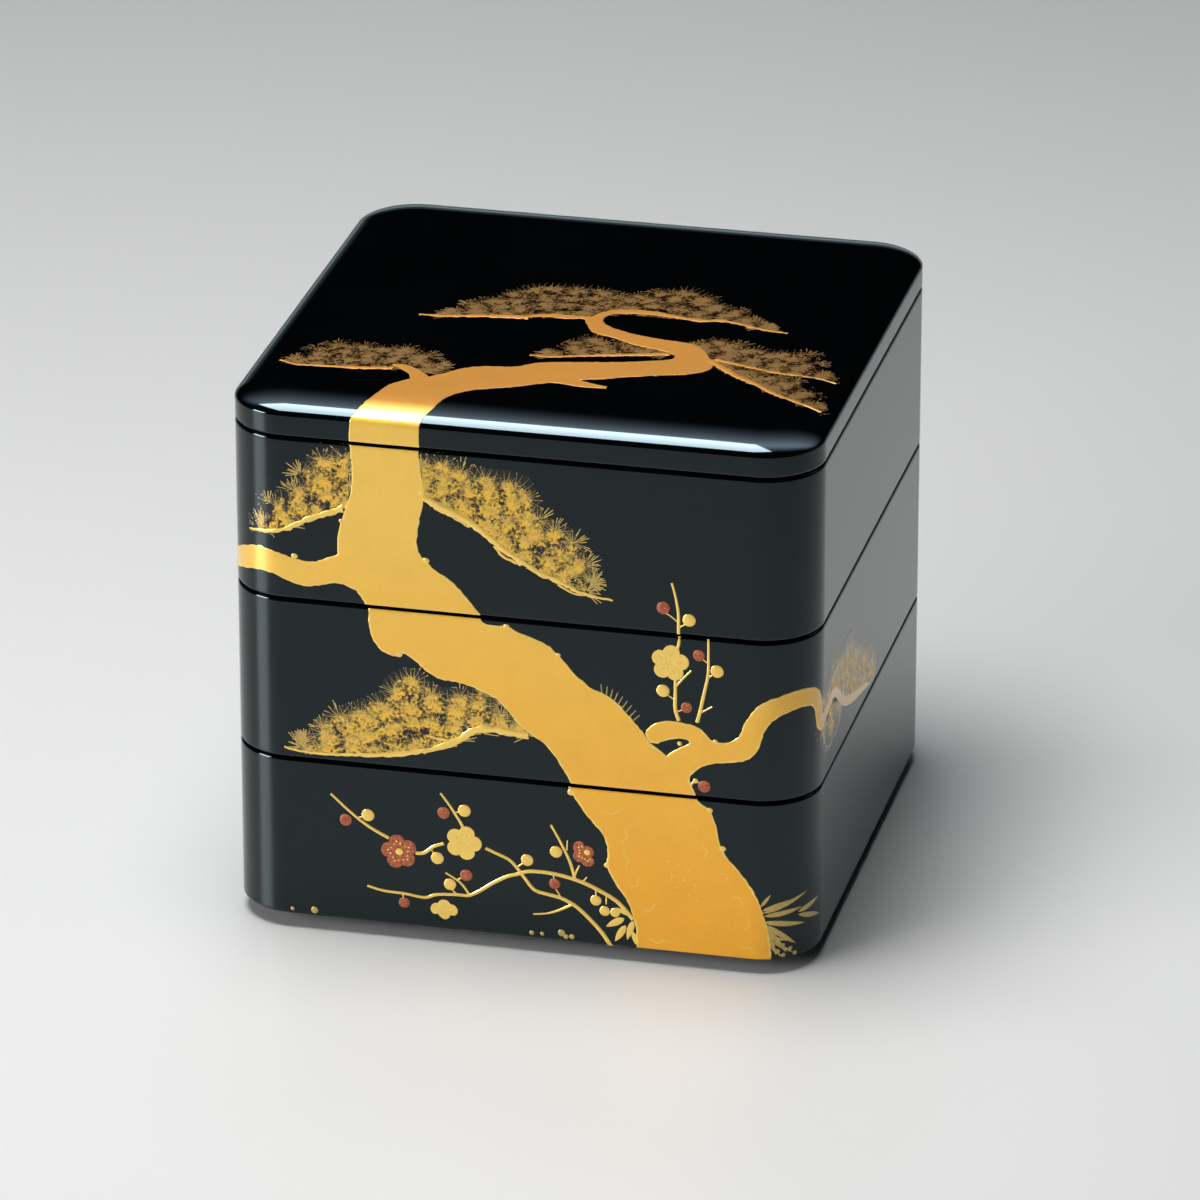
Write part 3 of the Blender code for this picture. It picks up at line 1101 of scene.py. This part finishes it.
# Dots of ground along the lowest edge: middle and radius.
DOTS = ((-76, 7, 0.7), (-68.5, 7.2, 1.2), (5, 7, 0.8), (8.5, 7, 0.7), (15, 8, 1.2),
        (16.5, 6.8, 0.9), (18.5, 7, 0.9), (87, 8.2, 0.9), (89, 6.6, 0.8), (91.5, 8.6, 0.8),
        (93.2, 6.6, 0.8), (89, 10.2, 0.7))
# Needles that stand along the trunk of the middle tier: root and tip.
STRAY_NEEDLES = ((28.5, 95, 28.2, 98.2), (30, 94.3, 30.3, 97.6), (31.3, 93.5, 32.1, 96.8),
                 (32.6, 92.7, 33.8, 95.8), (33.9, 91.6, 35.4, 94.6), (35.2, 90.4, 36.9, 93.2),
                 (36.5, 89.2, 38.4, 91.8), (37.8, 87.8, 39.8, 90.2), (39, 86.5, 41, 88.6))


# ---------------------------------------------------------------- small shapes that repeat

def spare_pattern(name):
    """Take the active object as a pattern to copy from, and name it."""
    pattern = bpy.context.object
    pattern.name = name
    bpy.ops.object.transform_apply(location=True, rotation=True, scale=True)
    return pattern


def needle_pattern():
    """One pine needle from the origin along +X: a long four-sided spike with a ridge on top."""
    deselect_all()
    bpy.ops.mesh.primitive_cone_add(vertices=4, radius1=0.5, radius2=0.30, depth=1.0,
                                    location=(0.5, 0, 0), rotation=(0, math.pi / 2, 0))
    return spare_pattern("needle_pattern")


def bud_pattern():
    """A low round dome, one wide."""
    deselect_all()
    bpy.ops.mesh.primitive_uv_sphere_add(segments=14, ring_count=8, radius=0.5)
    pattern = spare_pattern("bud_pattern")
    edit(pattern, action="SELECT")
    bpy.ops.mesh.bisect(plane_co=(0, 0, -0.1), plane_no=(0, 0, -1), use_fill=True,
                        clear_outer=True)
    leave_edit()
    return pattern


def petal_pattern():
    """A plum petal along +X, one long and one wide: round, dished, with a soft raised rim."""
    deselect_all()
    bpy.ops.mesh.primitive_circle_add(vertices=18, radius=0.5, fill_type="NGON",
                                      location=(0.5, 0, 0))
    pattern = spare_pattern("petal_pattern")
    for vertex in pattern.data.vertices:
        if vertex.co.x < 0.5:
            vertex.co.y *= 0.62 + 0.76 * vertex.co.x
    edit(pattern, action="SELECT")
    draw_on(PETAL_STEPS)
    leave_edit()
    return pattern


def throw_away(*patterns):
    """Remove the patterns once everything is copied from them."""
    for pattern in patterns:
        bpy.data.objects.remove(pattern, do_unlink=True)


def disc(x, y, across, high):
    """A place to sow a pattern unturned: x and y, its width in mm and its height in metres."""
    return x, y, 0, across * MM, across * MM, high


# ---------------------------------------------------------------- lines and distances

def stroke(points, start, end):
    """A smooth line whose width runs from one value to another."""
    line = flowing(points)
    last = len(line) - 1
    return [(x, y, (start + (end - start) * i / last) / 2) for i, (x, y) in enumerate(line)]


def knotty(points, dice):
    """The same line with rough bark: its place and its width wander a little."""
    return [(x + dice.uniform(-BOUGH_WANDER, BOUGH_WANDER),
             y + dice.uniform(-BOUGH_WANDER, BOUGH_WANDER),
             half * dice.uniform(0.70, 1.25)) for x, y, half in points]


def leaf(x, y, tip_x, tip_y, wide):
    """A bamboo leaf: a line that swells from its root and narrows to a point."""
    places = []
    for i in range(LEAF_STEPS + 1):
        t = i / LEAF_STEPS
        half = 0.08 + 0.5 * wide * math.sin(math.pi * t ** 0.75) ** 0.8
        places.append((x + (tip_x - x) * t, y + (tip_y - y) * t, half))
    return places


def bark_line(x, y, long, turn):
    """A wavy line of bark that fades out at both ends."""
    points = []
    way = math.radians(turn)
    for i in range(BARK_STEPS + 1):
        part = i / BARK_STEPS
        along = long * (part - 0.5)
        across = 0.65 * min(1.0, long / 4) * math.sin(10.0 * part)
        points.append((x + along * math.cos(way) - across * math.sin(way),
                       y + along * math.sin(way) + across * math.cos(way),
                       0.06 + 0.15 * math.sin(math.pi * part)))
    return points


def distances(line):
    """How far along a line each of its points is."""
    runs = [0.0]
    for a, b in zip(line, line[1:]):
        runs.append(runs[-1] + math.dist(a, b))
    return runs


def along_line(line, count):
    """Evenly spaced points on a line."""
    runs = distances(line)
    points = []
    place = 0
    for i in range(count):
        goal = runs[-1] * i / (count - 1)
        while place < len(runs) - 2 and runs[place + 1] < goal:
            place += 1
        part = (goal - runs[place]) / max(runs[place + 1] - runs[place], TINY)
        points.append(between(line[place], line[place + 1], part))
    return points


def between(a, b, part):
    """The point a part of the way from one point to another."""
    return a[0] + (b[0] - a[0]) * part, a[1] + (b[1] - a[1]) * part


def inside_outline(x, y, outline):
    """Whether a point of the drawing is inside a closed outline."""
    inside = False
    for a, b in zip(outline, outline[1:] + outline[:1]):
        if (a[1] > y) != (b[1] > y) and x < (b[0] - a[0]) * (y - a[1]) / (b[1] - a[1]) + a[0]:
            inside = not inside
    return inside


def distance_to_line(x, y, line):
    """Distance from a point of the drawing to a line of points."""
    nearest = math.inf
    for a, b in zip(line, line[1:]):
        run_x, run_y = b[0] - a[0], b[1] - a[1]
        part = ((x - a[0]) * run_x + (y - a[1]) * run_y) / max(run_x ** 2 + run_y ** 2, TINY)
        part = min(1, max(0, part))
        nearest = min(nearest, math.hypot(x - a[0] - run_x * part, y - a[1] - run_y * part))
    return nearest


# ---------------------------------------------------------------- the picture's pieces

def piece_name(name, what):
    """Name of a piece: the first word of its tier or lid, and what it is."""
    return name.split("_")[0] + "_" + what


def make_trunk(name):
    """The gold area of a trunk and the raised line round it."""
    picture = settings("picture")
    half_line = picture.outline / MM
    sides = TRUNKS[name]
    outline, rims = [], []
    for i, side in enumerate(sides):
        line = roughened(flowing(side), picture.seed + i)
        joins_next = line[-1] == sides[(i + 1) % len(sides)][0]
        outline += line[:-1] if joins_next else line
        dice = random.Random(picture.seed + RIM_SEED + i)
        rims.append([(x, y, half_line * (0.85 + 0.4 * dice.random())) for x, y in line])
    area = flat_area(piece_name(name, "gold_trunk"), outline, picture.relief * 2)
    rim = beads(piece_name(name, "trunk_outline"), rims)
    for piece, look in ((area, "gold_powder"), (rim, "pale_gold_line")):
        if name == "lid":
            trim_to_lid(piece)
        else:
            trim_to_wall(piece, name)
        finish_relief(piece, name, look)


def make_bark():
    """Wavy bark on the old trunk of the lowest tier, and knots along every trunk."""
    bark = beads("lower_bark_lines", [bark_line(*place) for place in BARK])
    for vertex in bark.data.vertices:
        if vertex.co.z > 0:
            vertex.co.z += settings("picture").relief
    finish_relief(bark, "lower_tier", "pale_gold_line")
    pattern = bud_pattern()
    for name, knots in KNOTS.items():
        places = [(x, y, 0, r * 2 * MM, r * 1.7 * MM, HIGH["knot"]) for x, y, r in knots]
        finish_relief(sow(piece_name(name, "knots"), pattern, places), name, "pale_gold_line")
    throw_away(pattern)


def fringe_needles(low, high, dice):
    """Places for the rows of needles that stick out of a cluster's outer edge."""
    picture = settings("picture")
    places = []
    for i, (root, tip) in enumerate(zip(low, high)):
        before, after = high[max(i - 1, 0)], high[min(i + 1, len(high) - 1)]
        out = math.atan2(after[0] - before[0], -(after[1] - before[1]))
        away = math.atan2(tip[1] - root[1], tip[0] - root[0])
        turn = math.atan2(math.sin(out) + math.sin(away), math.cos(out) + math.cos(away))
        for inset, width, high_up in FRINGE_ROWS:
            lean = turn + dice.uniform(-FRINGE_LEAN, FRINGE_LEAN)
            reach = picture.needle_length * dice.uniform(0.85, 1.15)
            places.append((tip[0] - (reach / MM + inset) * math.cos(lean),
                           tip[1] - (reach / MM + inset) * math.sin(lean),
                           lean, reach, picture.needle_width * width, high_up))
    return places


def fan_needles(low, high, dice):
    """Places for the fans of needles inside a cluster, and the middle of each fan."""
    picture = settings("picture")
    count = len(low)
    places, hearts = [], []
    for part in FAN_ROWS:
        line = [between(a, b, part) for a, b in zip(low, high)]
        fans = max(2, int(distances(line)[-1] / FAN_GAP))
        for i, (x, y) in enumerate(along_line(line, fans)):
            k = min(count - 1, int((i + 0.5) / fans * count))
            depth = math.dist(low[k], high[k])
            away = math.atan2(high[k][1] - low[k][1], high[k][0] - low[k][0])
            x += dice.uniform(-FAN_WANDER, FAN_WANDER)
            y += dice.uniform(-FAN_WANDER, FAN_WANDER)
            room = max(1.6, min(picture.needle_length / MM, depth * (1 - part) + 1.2))
            hearts.append((x, y))
            for j in range(FAN_NEEDLES):
                turn = away + FAN_SPREAD * ((j + dice.random()) / FAN_NEEDLES - 0.5)
                reach = room * dice.uniform(0.65, 1.10) * MM
                start = dice.uniform(0.2, 1.3)
                places.append((x + start * math.cos(turn), y + start * math.sin(turn), turn,
                               reach, picture.needle_width * 0.62,
                               dice.uniform(0.00011, 0.00017)))
    return places, hearts


def dust_patch(name, outline, fringe, hearts):
    """A thin sheet under a cluster that holds how thick the gold dust lies along it."""
    low_x, high_x = min(p[0] for p in outline), max(p[0] for p in outline)
    low_y, high_y = min(p[1] for p in outline), max(p[1] for p in outline)
    across = int((high_x - low_x) / DUST_PITCH) + 2
    up = int((high_y - low_y) / DUST_PITCH) + 2
    deselect_all()
    bpy.ops.mesh.primitive_grid_add(
        x_subdivisions=across, y_subdivisions=up, size=1,
        location=((high_x + low_x) / 2 * MM, (high_y + low_y) / 2 * MM, 0))
    sheet = bpy.context.object
    sheet.name = name
    sheet.scale = (across * DUST_PITCH * MM, up * DUST_PITCH * MM, 1)
    bpy.ops.object.transform_apply(location=True, rotation=True, scale=True)
    edit(sheet)
    pick(sheet, "faces", lambda f: not inside_outline(
        f.calc_center_median().x / MM, f.calc_center_median().y / MM, outline))
    bpy.ops.mesh.delete(type="FACE")
    leave_edit()
    dust = sheet.data.attributes.new("dust", "FLOAT", "POINT")
    for vertex, value in zip(sheet.data.vertices, dust.data):
        x, y = vertex.co.x / MM, vertex.co.y / MM
        edge = min(1.0, max(0.0, distance_to_line(x, y, fringe) - DUST_BARE) / DUST_EDGE)
        heart = min(math.hypot(x - a, y - b) for a, b in hearts)
        value.value = 0.31 * edge + 0.33 * math.exp(-(heart / DUST_HEART) ** 2) * (
            0.3 + 0.7 * edge)
    return sheet


def one_thin_sheet(patches, name):
    """Join patches into one piece and give it a thickness."""
    take(patches[0])
    for patch in patches[1:]:
        patch.select_set(True)
    bpy.ops.object.join()
    sheet = bpy.context.object
    rename(sheet, name)
    solid = sheet.modifiers.new("thin", "SOLIDIFY")
    solid.thickness = DUST_THICKNESS
    solid.offset = 0
    take(sheet)
    bpy.ops.object.modifier_apply(modifier=solid.name)
    return sheet


def make_pine(name):
    """The pine needles of one tier or the lid, the dust under them and their thin boughs."""
    picture = settings("picture")
    dice = random.Random(picture.seed + len(name.split("_")[0]))
    pattern = needle_pattern()
    rows, fans, patches = [], [], []
    for i, (base, fringe) in enumerate(CLUSTERS[name]):
        base, fringe = flowing(base), flowing(fringe)
        count = int(distances(fringe)[-1] / (picture.needle_gap / MM))
        low, high = along_line(base, count), along_line(fringe, count)
        rows += fringe_needles(low, high, dice)
        places, hearts = fan_needles(low, high, dice)
        fans += places
        patches.append(dust_patch(piece_name(name, f"dust_{i}"), base + fringe[::-1],
                                  fringe, hearts))
    needles = sow(piece_name(name, "pine_needles"), pattern, rows)
    fans = sow(piece_name(name, "needle_fans"), pattern, fans)
    throw_away(pattern)
    dust = one_thin_sheet(patches, piece_name(name, "gold_dust"))
    wider, flatness = LID_BOUGHS if name == "lid" else TIER_BOUGHS
    boughs = beads(piece_name(name, "boughs"), [
        knotty(stroke(points, wider * start, wider * end), dice)
        for points, start, end in BOUGHS[name]], flatness)
    for piece, look in ((dust, "gold_dust"), (needles, "needle_gold"), (fans, "fan_gold"),
                        (boughs, "pale_gold_line")):
        if name != "lid":
            keep_on_wall(piece, name)
        finish_relief(piece, name, look)


def blossom(x, y, radius, turn, count, colour):
    """Places for a blossom's petals, the lines of its stamens and the domes on them."""
    step = 72 if count == 5 else 62
    petals = [disc(x - 0.46 * radius, y, 0.92 * radius, HIGH["flower"])]
    lines, domes = [], []
    for i in range(count):
        angle = math.radians(turn + step * i)
        petals.append((x + 0.18 * radius * math.cos(angle), y + 0.18 * radius * math.sin(angle),
                       angle, 0.84 * radius * MM, 0.90 * radius * MM, HIGH["petal"]))
        if colour == "gold" and count == 5:
            continue
        for j in (-1, 0, 1):
            way = angle + 0.36 * j
            tip = radius * (0.62 if j == 0 else 0.5)
            tip_x, tip_y = x + tip * math.cos(way), y + tip * math.sin(way)
            lines.append([(x + radius * 0.1 * math.cos(way), y + radius * 0.1 * math.sin(way),
                           0.30), (tip_x, tip_y, 0.36)])
            domes.append(disc(tip_x, tip_y, 1.0, HIGH["stamen"]))
    if colour == "red":
        domes.append(disc(x, y, radius * 0.5, HIGH["pistil"]))
    return petals, lines, domes


def make_plum(name):
    """Plum twigs, blossoms and buds of one tier."""
    twig_lines = [stroke(points, 0.9 * start, 0.9 * end) for points, start, end in TWIGS[name]]
    flowers, buds = {"gold": [], "red": []}, {"gold": [], "red": []}
    for place in BLOSSOMS.get(name, ()):
        petals, lines, domes = blossom(*place)
        flowers[place[-1]] += petals
        twig_lines += lines
        buds["gold"] += domes
    for x, y, radius, colour in BUDS[name]:
        buds[colour].append(disc(x, y, radius * 2, HIGH["bud"]))
    twigs = beads(piece_name(name, "plum_twigs"), twig_lines, height_ratio=0.42)
    keep_on_wall(twigs, name)
    finish_relief(twigs, name, "pale_gold_line")
    for what, pattern, places in (("blossoms", petal_pattern(), flowers),
                                  ("buds", bud_pattern(), buds)):
        for colour, look in (("gold", "pale_gold_line"), ("red", "red_lacquer")):
            if places[colour]:
                piece = sow(piece_name(name, f"{colour}_{what}"), pattern, places[colour])
                finish_relief(piece, name, look)
        throw_away(pattern)


# ---------------------------------------------------------------- operators

class LACQUERBOX_OT_tiers(Operator):
    """Model the three open tiers, each with its tapered foot and its bowl inside."""

    bl_idname = "lacquer_box.add_tiers"
    bl_label = "Tiers"
    bl_options = {"REGISTER", "UNDO"}

    def execute(self, context):
        shape = settings("shape")
        edge, inner, bowl = shape.edge_radius, shape.rim_radius, shape.bowl_radius
        for name in TIERS:
            low, rim = wall_span(name)
            floor_top = low - shape.foot_height + shape.floor
            shell = rounded_block(name + "_shell", low + edge, rim - edge)

            pick(shell, "faces", faces_down)
            foot = quarter_round(edge, -edge, shape.edge_steps)
            foot.append((shape.wall + shape.foot_play - edge, 0))
            foot.append((0, -shape.foot_guide))
            foot.append((shape.foot_taper, shape.foot_guide - shape.foot_height))
            draw_on(foot)

            pick(shell, "faces", lambda f: faces_up(f) and f.calc_center_median().z > low)
            mouth = quarter_round(edge, edge, shape.edge_steps)
            mouth.append((shape.wall - edge - inner, 0))
            mouth += quarter_round(inner, -inner, shape.edge_steps, flat_first=True)
            mouth.append((0, floor_top + bowl - (rim - inner)))
            mouth += quarter_round(bowl, -bowl, BOWL_STEPS)
            draw_on(mouth)

            finish_shell(
                shell, name,
                lambda place, normal: place.z > floor_top - HAIR and normal.z > -0.01 and (
                    normal.x * place.x + normal.y * place.y < HAIR) and (
                    depth_inside(place.x, place.y) > shape.wall - inner * 0.5))
        return {"FINISHED"}


class LACQUERBOX_OT_lid(Operator):
    """Model the lid, with its soft shoulder outside and its lip underneath."""

    bl_idname = "lacquer_box.add_lid"
    bl_label = "Lid"
    bl_options = {"REGISTER", "UNDO"}

    def execute(self, context):
        shape = settings("shape")
        low, upper = wall_span("lid")
        lowest, highest = node_box["lid"][0].z, node_box["lid"][1].z
        edge, lip, round_under = shape.edge_radius, shape.lip_radius, shape.under_radius
        shell = rounded_block("lid_shell", low + edge, upper)

        pick(shell, "faces", faces_up)
        draw_on(quarter_round(shape.shoulder_width, highest - upper, shape.shoulder_steps))

        pick(shell, "faces", faces_down)
        under = quarter_round(edge, -edge, shape.edge_steps)
        under.append((shape.wall + shape.foot_play - edge, 0))
        under.append((0, lip - (low - lowest)))
        under += quarter_round(lip, -lip, LIP_STEPS)
        under.append((shape.lip_wall - 2 * lip, 0))
        under += quarter_round(lip, lip, LIP_STEPS, flat_first=True)
        under.append((0, highest - shape.crown - round_under - (lowest + lip)))
        under += quarter_round(round_under, round_under, UNDER_STEPS)
        draw_on(under)

        lip_inside = shape.wall + shape.foot_play + shape.lip_wall - lip * 0.5
        finish_shell(
            shell, "lid",
            lambda place, normal: place.z < highest - 0.002 and normal.z < 0.01 and (
                depth_inside(place.x, place.y) > lip_inside))
        return {"FINISHED"}


class LACQUERBOX_OT_trunks(Operator):
    """Lay the gold trunk and branches over the lid and down the three tiers."""

    bl_idname = "lacquer_box.add_trunks"
    bl_label = "Pine trunks"
    bl_options = {"REGISTER", "UNDO"}

    def execute(self, context):
        for name in TRUNKS:
            make_trunk(name)
        make_bark()
        return {"FINISHED"}


class LACQUERBOX_OT_pine(Operator):
    """Lay the clusters of pine needles on their gold dust."""

    bl_idname = "lacquer_box.add_needles"
    bl_label = "Pine needles"
    bl_options = {"REGISTER", "UNDO"}

    def execute(self, context):
        for name in CLUSTERS:
            make_pine(name)
        pattern = needle_pattern()
        places = [(x, y, math.atan2(tip_y - y, tip_x - x),
                   math.dist((x, y), (tip_x, tip_y)) * MM, STRAY_WIDTH, HIGH["stray"])
                  for x, y, tip_x, tip_y in STRAY_NEEDLES]
        stray = sow("middle_stray_needles", pattern, places)
        throw_away(pattern)
        finish_relief(stray, "middle_tier", "needle_gold")
        return {"FINISHED"}


class LACQUERBOX_OT_plum(Operator):
    """Lay the plum twigs with their gold and red blossoms and buds."""

    bl_idname = "lacquer_box.add_plum"
    bl_label = "Plum"
    bl_options = {"REGISTER", "UNDO"}

    def execute(self, context):
        for name in TWIGS:
            make_plum(name)
        return {"FINISHED"}


class LACQUERBOX_OT_bamboo(Operator):
    """Lay the bamboo leaves and the dots of ground at the foot of the trunk."""

    bl_idname = "lacquer_box.add_bamboo"
    bl_label = "Bamboo leaves"
    bl_options = {"REGISTER", "UNDO"}

    def execute(self, context):
        for side, look, leaves in (("left", "pale_gold_line", LEFT_LEAVES),
                                   ("right", "fan_gold", RIGHT_LEAVES)):
            piece = beads("lower_bamboo_" + side, [leaf(*place) for place in leaves],
                          height_ratio=0.14)
            finish_relief(piece, "lower_tier", look)
        pattern = bud_pattern()
        dots = sow("lower_ground_dots", pattern, [
            disc(x, y, r * 2, HIGH["ground"]) for x, y, r in DOTS])
        finish_relief(dots, "lower_tier", "fan_gold")
        throw_away(pattern)
        return {"FINISHED"}


def sky(room):
    """A pale room low down, dark above it, and a faint glow high up behind the box."""
    world = bpy.data.worlds.new("studio")
    bpy.context.scene.world = world
    world.use_nodes = True
    tree = world.node_tree
    parts = split_place(tree, "Generated")
    up = maths(tree, "ARCSINE", (parts, "Z"))
    ramp = add_node(tree, "ValToRGB", {
        "Fac": spread(tree, up, math.radians(-90), math.radians(90))})
    while len(ramp.color_ramp.elements) < len(SKY_STOPS):
        ramp.color_ramp.elements.new(0.5)
    for element, (degrees, level) in zip(ramp.color_ramp.elements, SKY_STOPS):
        element.position = (degrees + 90) / 180
        element.color = (0.82 * level, level, 1.07 * level, 1)
    glow = maths(tree, "MULTIPLY",
                 spread(tree, up, math.radians(24), math.radians(48)),
                 spread(tree, (parts, "Y"), 0.25, 0.6))
    mirrored = maths(tree, "MULTIPLY", maths(tree, "POWER", glow, 2.2),
                     (add_node(tree, "LightPath"), "Is Glossy Ray"))
    haze = mix_colour(tree, mirrored, (0.0, 0.0, 0.0, 1.0), HAZE)
    give(tree, tree.nodes["Background"], {
        "Color": mix_colour(tree, 1.0, (ramp, "Color"), haze, "ADD"), "Strength": room})


def area_light(name, place, aim, size, power, hidden, colour=(1, 1, 1)):
    """A rectangular softbox turned towards a point, and hidden from one kind of ray."""
    deselect_all()
    bpy.ops.object.light_add(type="AREA", location=place)
    lamp = bpy.context.object
    lamp.name = name
    lamp.data.shape = "RECTANGLE"
    lamp.data.size, lamp.data.size_y = size
    lamp.data.energy = power
    lamp.data.color = colour
    lamp.rotation_euler = (Vector(aim) - Vector(place)).to_track_quat("-Z", "Y").to_euler()
    lamp.visible_camera = False
    setattr(lamp, hidden, False)


class LACQUERBOX_OT_stage(Operator):
    """Set up the pale floor, the soft light and the camera."""

    bl_idname = "lacquer_box.add_stage"
    bl_label = "Floor, lights and camera"
    bl_options = {"REGISTER", "UNDO"}

    def execute(self, context):
        stage = settings("stage")
        deselect_all()
        bpy.ops.mesh.primitive_plane_add(size=60, location=(0, 0, 0))
        floor = context.object
        floor.name = "floor"
        floor.data.materials.append(finish("pale_floor"))

        area_light("key_softbox", (-0.19, -0.10, 1.48), (-0.05, 0, 0), (0.80, 0.80),
                   stage.key, "visible_glossy")
        area_light("front_softbox", (-2.0, -1.8, 0.85), (0, 0, 0.1), (1.9, 1.2),
                   stage.fill, "visible_glossy")
        area_light("corner_strip", (-1.81, -1.08, 0.86), (-0.25, -0.15, 0), (0.85, 0.8),
                   stage.strip, "visible_diffuse")
        area_light("shoulder_softbox", (-0.92, 1.50, 3.50), (0, 0, 0.15), (1.40, 1.75),
                   stage.softbox, "visible_diffuse", (0.86, 0.94, 1.0))
        sky(stage.room)

        bpy.ops.object.camera_add(location=CAMERA_PLACE,
                                  rotation=(math.pi / 2 - CAMERA_DOWN, 0, CAMERA_TURN))
        camera = context.object
        camera.data.lens = stage.lens
        camera.data.clip_end = 100
        context.scene.camera = camera
        context.scene.view_settings.view_transform = "Standard"
        return {"FINISHED"}


class LACQUERBOX_PT_panel(Panel):
    """Buttons and settings of the tiered food box."""

    bl_label = "Tiered Lacquer Food Box"
    bl_idname = "LACQUERBOX_PT_panel"
    bl_space_type = "VIEW_3D"
    bl_region_type = "UI"
    bl_category = "Lacquer Box"

    def draw(self, context):
        layout = self.layout
        for group in GROUPS:
            box = layout.box()
            box.label(text=group.title())
            values = settings(group)
            for key in values.bl_rna.properties.keys():
                if key not in ("rna_type", "name"):
                    box.prop(values, key)
        column = layout.column(align=True)
        for operator in OPERATORS:
            column.operator(operator.bl_idname)


GROUPS = {"shape": LacquerBoxShape, "colours": LacquerBoxColours,
          "picture": LacquerBoxPicture, "stage": LacquerBoxStage}
OPERATORS = (LACQUERBOX_OT_tiers, LACQUERBOX_OT_lid, LACQUERBOX_OT_trunks, LACQUERBOX_OT_pine,
             LACQUERBOX_OT_plum, LACQUERBOX_OT_bamboo, LACQUERBOX_OT_stage)


def register():
    """Add the settings, the operators and the panel to Blender."""
    for group, kind in GROUPS.items():
        bpy.utils.register_class(kind)
        setattr(bpy.types.Scene, "lacquer_box_" + group, PointerProperty(type=kind))
    for operator in OPERATORS:
        bpy.utils.register_class(operator)
    bpy.utils.register_class(LACQUERBOX_PT_panel)


def unregister():
    """Take everything out of Blender again."""
    bpy.utils.unregister_class(LACQUERBOX_PT_panel)
    for operator in reversed(OPERATORS):
        bpy.utils.unregister_class(operator)
    for group, kind in GROUPS.items():
        delattr(bpy.types.Scene, "lacquer_box_" + group)
        bpy.utils.unregister_class(kind)


def main():
    """Model the whole box piece by piece."""
    register()
    bpy.ops.lacquer_box.add_tiers()
    bpy.ops.lacquer_box.add_lid()
    bpy.ops.lacquer_box.add_trunks()
    bpy.ops.lacquer_box.add_needles()
    bpy.ops.lacquer_box.add_plum()
    bpy.ops.lacquer_box.add_bamboo()
    bpy.ops.lacquer_box.add_stage()


if __name__ == "__main__":
    main()
